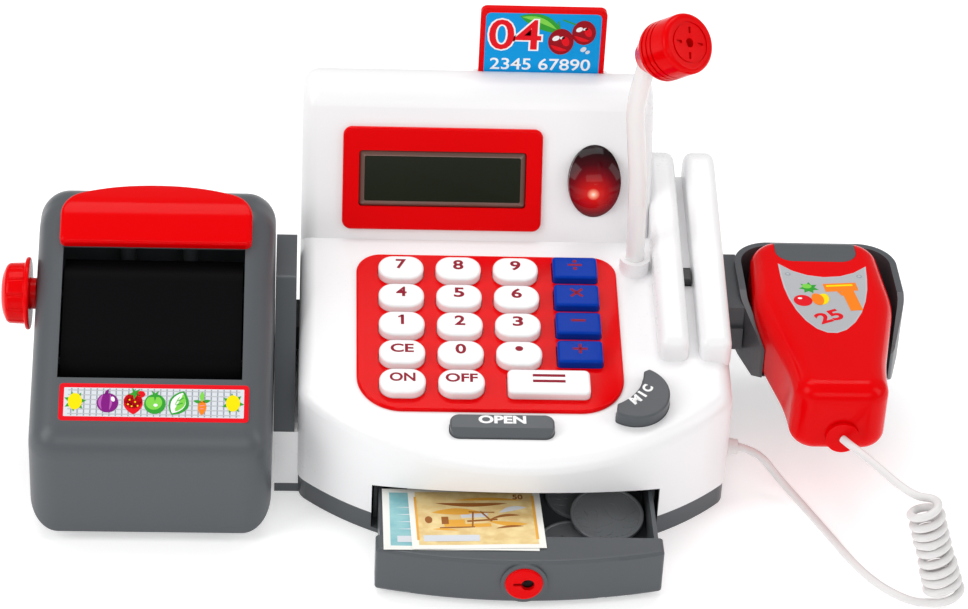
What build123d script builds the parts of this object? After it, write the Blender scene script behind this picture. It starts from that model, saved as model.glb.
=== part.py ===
from build123d import *
import math
import os

# Toy cash register: register, conveyor station, hand scanner, cord, drawer, keys.
# Millimetres, +Z up.  Everything is drawn about the middle of the register and
# moved at the end, so that the origin is under the middle of the whole toy.

# ---------------------------------------------------------------- register body
WALL = 2.5                # wall of every large moulded shell
BODY_HALF_WIDTH = 95.0
BODY_BACK_Y = 95.0
BOW_DEPTH_Y = 86.0        # how far the bowed front stands before the middle
BOW_RADIUS = 128.3
BODY_CORNER_R = 11.0
SEAM_Z = 10.5             # split between the grey base and the white shell
BASE_STEP = 0.7           # the base is set in from the white shell
DECK_ANGLE = 12.0
DECK_EDGE_Y = -82.0
DECK_EDGE_Z = 50.0
DECK_ROUND = 7.0
FLOOR = 2.2               # thickness of the base floor

TOWER_FOOT_Y = 46.0
TOWER_FOOT_Z = 77.3
TOWER_ANGLE = 66.0
TOWER_TOP_Z = 141.5
TOWER_RIGHT_X = 64.0
TOWER_BROW_R = 16.0
TOWER_BACK_R = 9.0
TOWER_SIDE_R = 8.0

CLEARANCE = 0.3           # sliding gap around anything that moves
FIT_GAP = 0.15            # gap of a fixed piece in its recess
RUNNING_GAP = 0.05        # radial gap of a shaft in its bore

# ---------------------------------------------------------------- display and lamp
DISPLAY_X = -31.5
DISPLAY_V = 27.9
DISPLAY_WIDTH = 90.0
DISPLAY_HEIGHT = 46.6
DISPLAY_CORNER_R = 4.0
DISPLAY_RISE = 2.2
DISPLAY_LIP = 4.0         # how far the bezel overlaps the hole in the tower
GLASS_WIDTH = 75.4
GLASS_HEIGHT = 25.4
GLASS_CORNER_R = 1.5
GLASS_THICKNESS = 2.0
MODULE_DEPTH = 6.0
LAMP_X = 37.2
LAMP_V = 28.1
LAMP_HALF_WIDTH = 11.8
LAMP_HALF_HEIGHT = 16.4
LAMP_RISE = 8.5
LAMP_FLANGE = 2.2

# ---------------------------------------------------------------- keypad
BEZEL_X = -11.5
BEZEL_V = 73.0
BEZEL_WIDTH = 116.7
BEZEL_HEIGHT = 94.0
BEZEL_BACK_R = 11.0
BEZEL_FRONT_R = 20.0
BEZEL_RISE = 1.6
BEZEL_LIP = 3.5
BEZEL_SKIRT = 2.4
KEY_COLUMNS = (-50.0, -24.4, 1.2)
BLUE_COLUMN = 28.0
KEY_MIDDLE_V = 73.8
KEY_PITCH = 17.15
KEY_WIDTH = 20.2
KEY_DEPTH = 14.2
KEY_RISE = 5.6            # top of a key above the deck
KEY_TRAVEL = 1.5
KEY_FLANGE = 0.9
KEY_FLANGE_THICK = 1.2
BLUE_WIDTH = 20.0
BLUE_DEPTH = 13.2
BLUE_SHIFT_V = 1.6        # the blue keys sit a little higher than their rows
EQUALS_X = 13.6
EQUALS_WIDTH = 36.0
EQUALS_V = 40.0
MAT_THICKNESS = 1.4
BOARD_THICKNESS = 1.6
BOARD_MARGIN = 1.0
PEG_R = 2.0

# ---------------------------------------------------------------- deck buttons
OPEN_X = -7.4
OPEN_WIDTH = 45.0
OPEN_FRONT_V = 11.0
OPEN_BACK_V = 21.6
OPEN_RISE = 4.2
OPEN_CORNER_R = 4.2
CALL_RISE = 6.2
CALL_GROWTH = 1.1         # crescent beyond its drawn middle lines
BUTTON_TRAVEL = 2.0
BUTTON_FLANGE = 1.6

# ---------------------------------------------------------------- card reader
RAIL_LEFT_X = 63.0
RAIL_SLOT_X = 76.3
SLOT_WIDTH = 4.7
RAIL_FRONT_V = 58.0
RAIL_RISE = 9.5
RAIL_BACK_RISE = 15.5     # the ribs stand higher at the back
SENSOR_V = 109.0
SENSOR_LENGTH = 9.0
SENSOR_RISE = 3.2
SENSOR_TRAVEL = 1.5

# ---------------------------------------------------------------- microphone
MIC_X = 55.4
MIC_Y = 30.6
STALK_R = 4.1
COLLAR_R = 6.8
COLLAR_RISE = 5.6
SOCKET_DEPTH = 9.0
STALK_ROUTE_TOP = ((-1.5, 0.0, 42.0), (-5.6, 0.0, 78.0), (-1.3, -0.6, 104.4))
MIC_HEAD_R = 13.3
MIC_HEAD_LENGTH = 29.0
MIC_AIM = (0.51, -0.62, 0.60)
HEAD_GROOVES = (12.5, 15.5, 18.5)
HEAD_SLOT_TURN = 66

# ---------------------------------------------------------------- sign
SIGN_X = 12.6
SIGN_WIDTH = 57.0
SIGN_RISE = 32.1
SIGN_TONGUE = 10.0
SIGN_THICKNESS = 3.0
SIGN_Y = 90.2

# ---------------------------------------------------------------- drawer
DRAWER_HALF = 61.3
DRAWER_GAP = 1.2          # gap between drawer front and opening
OPENING_ARCH = 9.2        # the opening's top rises this much to its middle
DRAWER_TOP_Z = 24.3
DRAWER_BOTTOM_Z = 2.6
DRAWER_OUT = 33.0         # how far the drawer stands open at rest
DRAWER_MORE = 38.0        # how much further it pulls out
DRAWER_BOW = 8.0
DRAWER_PROUD = 1.5        # drawer front stands this far before the body when shut
LOCK_PROUD = 2.0          # lock stands before the drawer front
LEDGE_Y = -103.0
TRAY_BACK_Y = -8.0
TRAY_WALL = 1.8
TRAY_HALF = 59.5
TRAY_TOP_Z = 22.6
COIN_WALL_X = 6.0
LOCK_X = 1.5
LOCK_Z = 13.6
LOCK_R = 8.1
LOCK_RING_R = 9.9
NOTE_SIZE = (74.0, 36.0, 0.35)
COIN_R = 16.2
COIN_THICKNESS = 1.8
COIN_PLACES = ((25.5, -84.0, 0.0, 0.0), (31.0, -50.0, 0.0, 0.0), (40.5, -68.5, 4.6, 9.0))
SPRING_R = 3.6
SPRING_WIRE = 0.45
SPRING_TURNS = 9

# ---------------------------------------------------------------- batteries, speaker
CELL_R = 7.2
CELL_LENGTH = 50.0
CELL_PITCH = 15.0
CELL_FIRST_Y = 47.0
CELL_Z = 10.6
CELL_COUNT = 3
DOOR_HALF_X = 29.0
SPEAKER_R = 20.0
SPEAKER_DEPTH = 9.0
SPEAKER_HOLE_R = 1.1
SPEAKER_X = -55.0
SPEAKER_Z = 112.0

# ---------------------------------------------------------------- conveyor station
STATION_LEFT = -209.8
STATION_RIGHT = -106.0
STATION_FRONT_Y = -79.0
STATION_BACK_Y = 48.0
STATION_SLOPE = 30.0
STATION_EDGE_Z = 52.0
STATION_TOP_Z = 108.0
STATION_BOTTOM_Z = 5.5
STATION_SIDE_R = 13.0
STATION_FRONT_R = 15.5
STATION_TOP_R = 20.0
STATION_FOOT_R = 12.0     # rounding of the two long bottom edges
PLATE_HALF = 39.0         # bottom plate, between the rounded edges
BELT_LEFT = -198.0
BELT_RIGHT = -119.0
BELT_START = 31.2         # along the slope from its front edge
BELT_END = 94.7
BELT_SUNK = 2.5           # belt surface below the housing surface
BELT_THICKNESS = 1.2
ROLLER_R = 14.0
BELT_SIDE_GAP = 0.8
AXLE_R = 3.0
HOOD_LEFT = -199.7
HOOD_RIGHT = -116.1
HOOD_START = 94.0
HOOD_RISE = 4.5
HOOD_EDGE_R = 2.0
KNOB_R = 13.2
KNOB_FLANGE_R = 16.0
KNOB_REACH = 15.2
FOOT_R = 7.8
FOOT_X = 31.0
LINK_THICKNESS = 9.2
LINK_BOTTOM_Z = 33.0
LINK_TOP_Z = 82.0
LINK_FRONT_Y = -42.0
LINK_BACK_Y = 44.0
DOCK_LEFT = -105.6
DOCK_BOTTOM_Z = 5.0

# ---------------------------------------------------------------- cradle and scanner
SCANNER_X = 140.0
SCANNER_FRONT_Y = -60.5
SCANNER_BACK_Y = 61.0
SCANNER_BOTTOM_Z = 39.0
SCANNER_TOP_Z = 73.0
SCANNER_SPLIT_Z = 54.0
SCANNER_WALL = 2.2
SCANNER_EDGE_R = 8.5
TRIGGER_Y = -16.0
TRIGGER_WIDTH = 12.0
TRIGGER_LENGTH = 22.0
TRIGGER_PROUD = 2.2
HEAD_HALF = 31.5
HANDLE_HALF = 20.5
NECK_HALF = 21.5
NOSE_HALF = 18.5
CRADLE_X = 141.0
CRADLE_HALF = 37.4
CRADLE_TIP_HALF = 28.6
CRADLE_WALL = 3.0
CRADLE_BACK_Y = 66.0
CRADLE_FRONT_Y = -10.0
CRADLE_BOTTOM_Z = 35.7
CRADLE_TOP_Z = 66.0
CRADLE_LIFT = 60.0

# ---------------------------------------------------------------- cord
CORD_R = 1.8
COIL_R = 8.0
GLAND_Y = -36.0
GLAND_Z = 24.0
GLAND_REACH = 5.0
CORD_EXIT_Z = 48.5
CORD_EXIT_X = 141.0
BOSS_REACH = 2.0
BOSS_R = 7.4
LEAD_REGISTER = ((100.0, -36.0, 24.0), (111.0, -36.2, 20.5), (121.5, -37.0, 9.0),
                 (133.0, -45.5, 1.9), (145.0, -68.0, 1.9), (154.0, -89.0, 1.9),
                 (164.0, -104.0, 1.9), (176.0, -109.5, 1.9))
LEAD_SCANNER = ((141.0, -62.7, 48.5), (142.2, -72.0, 48.3), (148.5, -82.0, 48.0),
                (157.0, -93.0, 47.6), (166.5, -103.0, 46.5))
COIL_FOOT = (184.0, -109.5, 3.0)
COIL_TOP = (170.5, -105.5, 47.0)

# ---------------------------------------------------------------- origin of the toy
TOY_LEFT = STATION_LEFT - KNOB_REACH
TOY_RIGHT = CRADLE_X + CRADLE_HALF
TOY_FRONT = -BOW_DEPTH_Y - DRAWER_OUT - DRAWER_PROUD - LOCK_PROUD
TOY_BACK = BODY_BACK_Y
ORIGIN = Vector((TOY_LEFT + TOY_RIGHT) / 2, (TOY_FRONT + TOY_BACK) / 2, 0)

DECK = Plane(origin=(0, DECK_EDGE_Y, DECK_EDGE_Z), x_dir=(1, 0, 0),
             z_dir=(0, -math.sin(math.radians(DECK_ANGLE)), math.cos(math.radians(DECK_ANGLE))))
FACE = Plane(origin=(0, TOWER_FOOT_Y, TOWER_FOOT_Z), x_dir=(1, 0, 0),
             z_dir=(0, -math.sin(math.radians(TOWER_ANGLE)), math.cos(math.radians(TOWER_ANGLE))))
SLOPE = Plane(origin=(0, STATION_FRONT_Y, STATION_EDGE_Z), x_dir=(1, 0, 0),
              z_dir=(0, -math.sin(math.radians(STATION_SLOPE)), math.cos(math.radians(STATION_SLOPE))))
ON_FLOOR = (Align.CENTER, Align.CENTER, Align.MIN)


# ================================================================ small makers
def block(x0, x1, y0, y1, z0, z1):
    """Plain box between two corners."""
    return Pos((x0 + x1) / 2, (y0 + y1) / 2, (z0 + z1) / 2) * Box(x1 - x0, y1 - y0, z1 - z0)


def post(x, y, z0, z1, radius):
    """Upright cylinder."""
    return Pos(x, y, z0) * Cylinder(radius, z1 - z0, align=ON_FLOOR)


def shaft_x(x0, x1, y, z, radius):
    """Cylinder along X."""
    return Pos(x0, y, z) * Rot(0, 90, 0) * Cylinder(radius, x1 - x0, align=ON_FLOOR)


def shaft_y(x, y0, y1, z, radius):
    """Cylinder along Y."""
    return Pos(x, y0, z) * Rot(-90, 0, 0) * Cylinder(radius, y1 - y0, align=ON_FLOOR)


def prism_x(points, radii, x0, x1):
    """Side profile of (y, z) points, rounded at each corner, drawn out along X."""
    outline = FilletPolyline(*[(0, y, z) for y, z in points], radius=radii, close=True)
    face = Plane.YZ * make_face(Plane.YZ.to_local_coords(outline))
    return extrude(Pos(x0, 0, 0) * face, amount=x1 - x0, dir=(1, 0, 0))


def rounded_plate(width, height, radius, w0, w1):
    """Rounded rectangle between two heights, about the local origin."""
    return extrude(Pos(0, 0, w0) * RectangleRounded(width, height, radius), amount=w1 - w0)


def on_deck(u, v, w, shape):
    """Place a shape on the sloping deck."""
    return DECK.location * Pos(u, v, w) * shape


def on_face(u, v, w, shape):
    """Place a shape on the tower's display face."""
    return FACE.location * Pos(u, v, w) * shape


def deck_z(y):
    """Height of the deck surface at a given y."""
    return DECK_EDGE_Z + (y - DECK_EDGE_Y) * math.tan(math.radians(DECK_ANGLE))


# ================================================================ register shells
def body_outline(inset):
    """Plan of the register: straight sides and back, bowed front."""
    half = BODY_HALF_WIDTH - inset
    back = BODY_BACK_Y - inset
    front = -BOW_DEPTH_Y
    plan = Pos(0, (back + front) / 2) * Rectangle(2 * half, back - front)
    plan &= Pos(0, BOW_RADIUS - BOW_DEPTH_Y) * Circle(BOW_RADIUS - inset)
    return fillet(plan.vertices(), BODY_CORNER_R - inset)


def deck_form(inset, bottom):
    """Low part of the register under its sloping deck."""
    lower = inset / math.cos(math.radians(DECK_ANGLE))
    form = extrude(Pos(0, 0, bottom) * body_outline(inset), amount=TOWER_TOP_Z)
    reach = 2 * BODY_HALF_WIDTH
    top = [(-reach, bottom - 1), (-reach, deck_z(-reach) - lower),
           (reach, deck_z(reach) - lower), (reach, bottom - 1)]
    form &= prism_x(top, 0, -reach, reach)
    deck_face = form.faces().sort_by(Axis.Z)[-1]
    return fillet(deck_face.edges(), DECK_ROUND - inset)


def tower_form(inset, bottom):
    """Display tower with its rounded brow."""
    angle = math.radians(TOWER_ANGLE)
    top = TOWER_TOP_Z - inset
    back = BODY_BACK_Y - inset
    foot = TOWER_FOOT_Y + inset / math.sin(angle)

    def face_y(z):
        return foot + (z - TOWER_FOOT_Z) / math.tan(angle)

    profile = [(face_y(bottom), bottom), (face_y(top), top), (back, top), (back, bottom)]
    radii = [0, TOWER_BROW_R - inset, TOWER_BACK_R - inset, 0]
    form = prism_x(profile, radii, -BODY_HALF_WIDTH + inset, TOWER_RIGHT_X - inset)
    ends = form.faces().sort_by(Axis.X)
    edges = [e for face in (ends[0], ends[-1]) for e in face.edges() if e.center().Z > bottom + 1]
    return fillet(edges, TOWER_SIDE_R - inset)


def rail(x0, x1):
    """One of the two raised ribs of the card reader."""
    slope = math.radians(DECK_ANGLE)
    front = DECK_EDGE_Y + RAIL_FRONT_V * math.cos(slope)
    back = BODY_BACK_Y
    rise = RAIL_RISE / math.cos(slope)
    back_rise = RAIL_BACK_RISE / math.cos(slope)
    points = [(front, deck_z(front) - WALL), (front, deck_z(front) + rise),
              (back, deck_z(back) + back_rise), (back, deck_z(back) - WALL - DECK_ROUND)]
    form = prism_x(points, [0, 5.5, 10.0, 0], x0, x1)
    ends = form.faces().sort_by(Axis.X)
    low = deck_z(front) - WALL + 0.1
    edges = [e for face in (ends[0], ends[-1]) for e in face.edges()
             if e.center().Z > low and e.center().Z > deck_z(e.center().Y) - WALL]
    return fillet(edges, 4.0)


SCREW_PLACES = ((-84.0, 78.0), (-84.0, -26.0), (84.0, 78.0), (84.0, -26.0))
SCREW_SPLIT_Z = 20.0
SCREW_R = 1.4


def key_outline(kind):
    """Plan of a key cap and its flange size."""
    if kind == "blue":
        return RectangleRounded(BLUE_WIDTH, BLUE_DEPTH, 1.6)
    if kind == "equals":
        return RectangleRounded(EQUALS_WIDTH, KEY_DEPTH, 2.6)
    return RectangleRounded(KEY_WIDTH, KEY_DEPTH, KEY_DEPTH / 2 - 0.4)


def key_places():
    """Name, kind and deck position of each of the nineteen keys."""
    rows = [KEY_MIDDLE_V + (2 - i) * KEY_PITCH for i in range(5)]
    names = (("key_7", "key_8", "key_9"), ("key_4", "key_5", "key_6"), ("key_1", "key_2", "key_3"),
             ("key_clear", "key_0", "key_point"), ("key_on", "key_off"))
    places = []
    for row_names, v in zip(names, rows):
        for name, x in zip(row_names, KEY_COLUMNS):
            places.append((name, "white", x, v))
    for name, v in zip(("key_divide", "key_multiply", "key_minus", "key_plus"), rows):
        places.append((name, "blue", BLUE_COLUMN, v + BLUE_SHIFT_V))
    places.append(("key_equals", "equals", EQUALS_X, EQUALS_V))
    return places


def call_button_outline(grow):
    """Crescent plan of the call button, in deck coordinates."""
    outer = ThreePointArc((57.6, 46.4), (64.2, 30.2), (43.2, 22.2))
    inner = ThreePointArc((43.6, 26.4), (52.4, 34.2), (56.2, 45.6))
    side_a = Line((43.2, 22.2), (43.6, 26.4))
    side_b = Line((56.2, 45.6), (57.6, 46.4))
    plan = make_face([outer, side_a, inner, side_b])
    return offset(plan, grow + CALL_GROWTH, kind=Kind.ARC)


def open_button_plan(grow):
    """Plan of the drawer button, in deck coordinates."""
    depth = OPEN_BACK_V - OPEN_FRONT_V
    middle = (OPEN_BACK_V + OPEN_FRONT_V) / 2
    return Pos(OPEN_X, middle) * RectangleRounded(OPEN_WIDTH + 2 * grow, depth + 2 * grow, OPEN_CORNER_R + grow)


def lens_oval(grow):
    """Plan of the lamp lens, on the tower face."""
    return Pos(LAMP_X, LAMP_V) * Ellipse(LAMP_HALF_WIDTH + grow, LAMP_HALF_HEIGHT + grow)


def bezel_plan(grow):
    """Plan of the keypad bezel: wide corners at the front."""
    plan = Rectangle(BEZEL_WIDTH + 2 * grow, BEZEL_HEIGHT + 2 * grow)
    corners = plan.vertices().sort_by(Axis.Y)
    plan = fillet(corners[:2], BEZEL_FRONT_R + grow)
    corners = plan.vertices().sort_by(Axis.Y)
    return Pos(BEZEL_X, BEZEL_V) * fillet(corners[-2:], BEZEL_BACK_R + grow)


def make_upper_shell():
    """White shell: deck, tower, card rails, microphone collar and dock."""
    shell = deck_form(0, SEAM_Z) + tower_form(0, SEAM_Z + 20)
    shell += rail(RAIL_LEFT_X, RAIL_SLOT_X) + rail(RAIL_SLOT_X + SLOT_WIDTH, BODY_HALF_WIDTH)
    shell -= deck_form(WALL, SEAM_Z - 1) + tower_form(WALL, SEAM_Z)
    # dock for the conveyor station, on the left side
    shell += block(DOCK_LEFT, -BODY_HALF_WIDTH + WALL / 2, LINK_FRONT_Y, LINK_BACK_Y, DOCK_BOTTOM_Z, LINK_BOTTOM_Z)
    shell -= block(DOCK_LEFT + WALL, -BODY_HALF_WIDTH + WALL, LINK_FRONT_Y + WALL, LINK_BACK_Y - WALL,
                   0, LINK_BOTTOM_Z - WALL)
    shell -= block(-BODY_HALF_WIDTH + BASE_STEP - FIT_GAP, -BODY_HALF_WIDTH + 2 * WALL,
                   LINK_FRONT_Y - 1, LINK_BACK_Y + 1, 0, SEAM_Z)
    # screw posts and board posts, trimmed to the inside of the shell
    room = deck_form(WALL / 2, SEAM_Z) + tower_form(WALL / 2, SEAM_Z + 20)
    for x, y in SCREW_PLACES:
        shell += post(x, y, SCREW_SPLIT_Z, TOWER_TOP_Z, 4.0) & room
        shell -= post(x, y, SCREW_SPLIT_Z - 1, SCREW_SPLIT_Z + 14, SCREW_R - 0.2)
    # microphone collar and its socket
    shell += post(MIC_X, MIC_Y, deck_z(MIC_Y) - SOCKET_DEPTH - WALL, deck_z(MIC_Y) + COLLAR_RISE, COLLAR_R)
    shell -= post(MIC_X, MIC_Y, deck_z(MIC_Y) - SOCKET_DEPTH, 2 * TOWER_TOP_Z, STALK_R + RUNNING_GAP)
    # openings in the deck
    shell -= DECK.location * extrude(Pos(0, 0, -20) * bezel_plan(-BEZEL_LIP), amount=30)
    shell -= DECK.location * extrude(Pos(0, 0, -20) * open_button_plan(CLEARANCE), amount=30)
    shell -= DECK.location * extrude(Pos(0, 0, -20) * call_button_outline(CLEARANCE), amount=30)
    slot_middle = RAIL_SLOT_X + SLOT_WIDTH / 2
    shell -= on_deck(slot_middle, SENSOR_V, -10, Box(SLOT_WIDTH - 0.2, SENSOR_LENGTH + 2 * CLEARANCE, 20))
    # openings in the tower
    window = rounded_plate(DISPLAY_WIDTH - 2 * DISPLAY_LIP, DISPLAY_HEIGHT - 2 * DISPLAY_LIP, 2.0, -8, 8)
    shell -= on_face(DISPLAY_X, DISPLAY_V, 0, window)
    shell -= FACE.location * extrude(Pos(0, 0, -8) * lens_oval(FIT_GAP), amount=20)
    # pocket that holds the sign's tongue
    shell += block(SIGN_X - SIGN_WIDTH / 2 - 2, SIGN_X + SIGN_WIDTH / 2 + 2, SIGN_Y - 3.6, SIGN_Y + 3.6,
                   TOWER_TOP_Z - SIGN_TONGUE - 2.4, TOWER_TOP_Z - WALL + 0.5)
    shell -= block(SIGN_X - SIGN_WIDTH / 2 - CLEARANCE, SIGN_X + SIGN_WIDTH / 2 + CLEARANCE,
                   SIGN_Y - SIGN_THICKNESS / 2 - CLEARANCE, SIGN_Y + SIGN_THICKNESS / 2 + CLEARANCE,
                   TOWER_TOP_Z - SIGN_TONGUE - 0.4, TOWER_TOP_Z + 1)
    # loudspeaker holes in the back wall
    for ring, count in ((0.0, 1), (5.0, 6), (10.0, 12), (15.0, 18)):
        for i in range(count):
            angle = 2 * math.pi * i / count
            shell -= shaft_y(SPEAKER_X + ring * math.cos(angle), BODY_BACK_Y - 2 * WALL, BODY_BACK_Y + 1,
                             SPEAKER_Z + ring * math.sin(angle), SPEAKER_HOLE_R)
    # opening for the drawer and seat for the cord gland
    shell -= block(-DRAWER_HALF - DRAWER_GAP, DRAWER_HALF + DRAWER_GAP, -BOW_DEPTH_Y - 5, -50,
                   0, DRAWER_TOP_Z + DRAWER_GAP)
    half = DRAWER_HALF + DRAWER_GAP
    arch_r = (half ** 2 + OPENING_ARCH ** 2) / (2 * OPENING_ARCH)
    arch = shaft_y(0, -BOW_DEPTH_Y - 5, -50, DRAWER_TOP_Z + DRAWER_GAP + OPENING_ARCH - arch_r, arch_r)
    shell -= arch & block(-half, half, -BOW_DEPTH_Y - 5, -50, 0, DECK_EDGE_Z)
    shell -= shaft_x(BODY_HALF_WIDTH - 6, BODY_HALF_WIDTH + 1, GLAND_Y, GLAND_Z, 2.6)
    return shell


def make_base_shell():
    """Grey tub under the register, with battery box and drawer guides."""
    base = extrude(body_outline(BASE_STEP), amount=SEAM_Z)
    base -= extrude(Pos(0, 0, FLOOR) * body_outline(BASE_STEP + WALL), amount=SEAM_Z)
    base += block(DOCK_LEFT + BASE_STEP, -BODY_HALF_WIDTH + WALL, LINK_FRONT_Y + BASE_STEP,
                  LINK_BACK_Y - BASE_STEP, 0, DOCK_BOTTOM_Z)
    base -= block(-DRAWER_HALF - DRAWER_GAP, DRAWER_HALF + DRAWER_GAP, -BOW_DEPTH_Y - 5, -55,
                  FLOOR, SEAM_Z + 1)
    # guide ribs on both sides of the drawer
    for side in (-1, 1):
        inner = side * (TRAY_HALF + CLEARANCE)
        outer = side * (TRAY_HALF + CLEARANCE + 1.6)
        base += block(min(inner, outer), max(inner, outer), -62, 30, FLOOR - 0.2, TRAY_TOP_Z)
    # battery box
    first = CELL_FIRST_Y - CELL_PITCH / 2 - 0.6
    last = CELL_FIRST_Y + (CELL_COUNT - 0.5) * CELL_PITCH + 0.6
    half = CELL_LENGTH / 2 + 1.2
    roof = CELL_Z + CELL_R + 0.6
    base += block(-half - 1.6, half + 1.6, first - 1.6, last + 1.6, FLOOR - 0.2, roof + 1.6)
    base -= block(-half, half, first, last, FLOOR - 1, roof)
    base -= block(-DOOR_HALF_X - FIT_GAP, DOOR_HALF_X + FIT_GAP, first - 3 - FIT_GAP, last + 3 + FIT_GAP, -1, 1.2)
    base -= block(-half, half, first, last, -1, FLOOR)
    # screw bosses
    for x, y in SCREW_PLACES:
        base += post(x, y, FLOOR - 0.2, SCREW_SPLIT_Z, 4.0)
        base -= post(x, y, -1, SCREW_SPLIT_Z + 1, SCREW_R + 0.25)
        base -= post(x, y, -1, 4.0, 3.3)
    return base


# ================================================================ display and lamp
def make_display_bezel():
    """Red frame around the display."""
    frame = rounded_plate(DISPLAY_WIDTH, DISPLAY_HEIGHT, DISPLAY_CORNER_R, 0, DISPLAY_RISE)
    frame = fillet(frame.faces().sort_by(Axis.Z)[-1].edges(), 1.2)
    frame += rounded_plate(DISPLAY_WIDTH - 2 * DISPLAY_LIP - 2 * FIT_GAP,
                           DISPLAY_HEIGHT - 2 * DISPLAY_LIP - 2 * FIT_GAP, 2.0, -WALL - 1.0, 0.5)
    frame -= rounded_plate(GLASS_WIDTH, GLASS_HEIGHT, GLASS_CORNER_R, -10, 10)
    return on_face(DISPLAY_X, DISPLAY_V, 0, frame)


def make_lcd_module():
    """Display glass and the small board behind it, two solids in one node."""
    glass_top = DISPLAY_RISE - 2.0
    glass = rounded_plate(GLASS_WIDTH - 2 * FIT_GAP, GLASS_HEIGHT - 2 * FIT_GAP, GLASS_CORNER_R,
                          glass_top - GLASS_THICKNESS, glass_top)
    under = -WALL - 1.0
    board = Pos(0, 0, under - MODULE_DEPTH / 2) * Box(GLASS_WIDTH + 4, GLASS_HEIGHT + 6, MODULE_DEPTH)
    neck = Pos(0, 0, (glass_top - GLASS_THICKNESS + under) / 2) * Box(
        GLASS_WIDTH - 6, GLASS_HEIGHT - 4, glass_top - GLASS_THICKNESS - under)
    return on_face(DISPLAY_X, DISPLAY_V, 0, glass + neck + board)


def make_indicator_lens():
    """Domed smoked lens with a flange behind the tower wall."""
    oval = extrude(lens_oval(0), amount=LAMP_RISE + 4)
    oval = Pos(0, 0, -WALL) * oval
    radius = (LAMP_HALF_HEIGHT ** 2 + LAMP_RISE ** 2) / (2 * LAMP_RISE)
    ball = Pos(LAMP_X, LAMP_V, LAMP_RISE - radius) * Sphere(radius)
    dome = oval & ball
    flange = Pos(0, 0, -WALL - 1.4) * extrude(lens_oval(LAMP_FLANGE), amount=1.4)
    return FACE.location * (dome + flange)


# ================================================================ keypad
def make_keypad_bezel():
    """Red plate that frames the keys."""
    bezel = extrude(bezel_plan(0), amount=BEZEL_RISE)
    bezel = fillet(bezel.faces().sort_by(Axis.Z)[-1].edges(), 0.9)
    bezel += Pos(0, 0, -BEZEL_SKIRT) * extrude(bezel_plan(-BEZEL_LIP - FIT_GAP), amount=BEZEL_SKIRT + 0.4)
    for name, kind, x, v in key_places():
        hole = offset(key_outline(kind), CLEARANCE)
        bezel -= Pos(x, v, -BEZEL_SKIRT - 1) * extrude(hole, amount=BEZEL_SKIRT + BEZEL_RISE + 2)
    return DECK.location * bezel


def make_key(kind, x, v):
    """Key cap with a flange under the bezel."""
    under = -BEZEL_SKIRT - 0.1
    cap = Pos(0, 0, under) * extrude(key_outline(kind), amount=KEY_RISE - under)
    cap = fillet(cap.faces().sort_by(Axis.Z)[-1].edges(), 1.3)
    flange = offset(key_outline(kind), KEY_FLANGE)
    cap += Pos(0, 0, under - KEY_FLANGE_THICK) * extrude(flange, amount=KEY_FLANGE_THICK)
    return on_deck(x, v, 0, cap)


def board_top():
    """Depth of the top of the key mat below the deck."""
    return -BEZEL_SKIRT - 0.1 - KEY_FLANGE_THICK - KEY_TRAVEL - CLEARANCE


def make_key_mat():
    """Rubber contact mat under the keys."""
    mat = extrude(Pos(0, 0, board_top() - MAT_THICKNESS) * bezel_plan(-BEZEL_LIP - 1.0), amount=MAT_THICKNESS)
    return DECK.location * mat


def make_circuit_board():
    """Main board under the key mat, with its chip and parts."""
    top = board_top() - MAT_THICKNESS
    board = Pos(BEZEL_X, BEZEL_V, top - BOARD_THICKNESS / 2) * Box(
        BEZEL_WIDTH + 2 * BOARD_MARGIN, BEZEL_HEIGHT - 2, BOARD_THICKNESS)
    board += Pos(BEZEL_X, BEZEL_V, top - BOARD_THICKNESS - 1.5) * Box(22, 22, 3)
    board += Pos(BEZEL_X + 32, BEZEL_V + 20, top - BOARD_THICKNESS - 3) * Cylinder(4, 6)
    return DECK.location * board


def make_board_posts():
    """Four pegs that join the board to the deck, part of the white shell."""
    top = board_top() - MAT_THICKNESS
    pegs = []
    for side in (-1, 1):
        for end in (-1, 1):
            u = BEZEL_X + side * (BEZEL_WIDTH / 2 + BOARD_MARGIN - PEG_R + 0.2)
            v = BEZEL_V + end * (BEZEL_HEIGHT / 2 - 14)
            pegs.append(Pos(u, v, top) * Cylinder(PEG_R, -WALL - top + 0.5, align=ON_FLOOR))
    return [DECK.location * peg for peg in pegs]


# ================================================================ buttons
def make_open_button():
    """Grey drawer button with the leg of its latch."""
    profile_top = OPEN_RISE
    body = extrude(Pos(0, 0, -WALL - 0.1) * open_button_plan(0), amount=profile_top + WALL + 0.1)
    front = OPEN_FRONT_V
    slant = Plane.YZ * make_face(Polyline((front - 2, -1), (front + 3.6, profile_top + 1),
                                          (front - 2, profile_top + 1), close=True))
    cutter = extrude(Pos(OPEN_X - OPEN_WIDTH, 0, 0) * slant, amount=2 * OPEN_WIDTH, dir=(1, 0, 0))
    body = fillet(body.faces().sort_by(Axis.Z)[-1].edges(), 0.9) - cutter
    body += extrude(Pos(0, 0, -WALL - 0.1 - 1.4) * open_button_plan(BUTTON_FLANGE), amount=1.4)
    leg_v = OPEN_BACK_V - 3
    leg_bottom = -15.0
    body += Pos(OPEN_X, leg_v, (leg_bottom - WALL) / 2) * Box(8, 2.4, -WALL - leg_bottom)
    return DECK.location * body


def make_mic_button():
    """Grey crescent button at the right of the deck."""
    body = extrude(Pos(0, 0, -WALL - 0.1) * call_button_outline(0), amount=CALL_RISE + WALL + 0.1)
    body = fillet(body.faces().sort_by(Axis.Z)[-1].edges(), 0.9)
    body += extrude(Pos(0, 0, -WALL - 0.1 - 1.4) * call_button_outline(BUTTON_FLANGE), amount=1.4)
    return DECK.location * body


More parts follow.
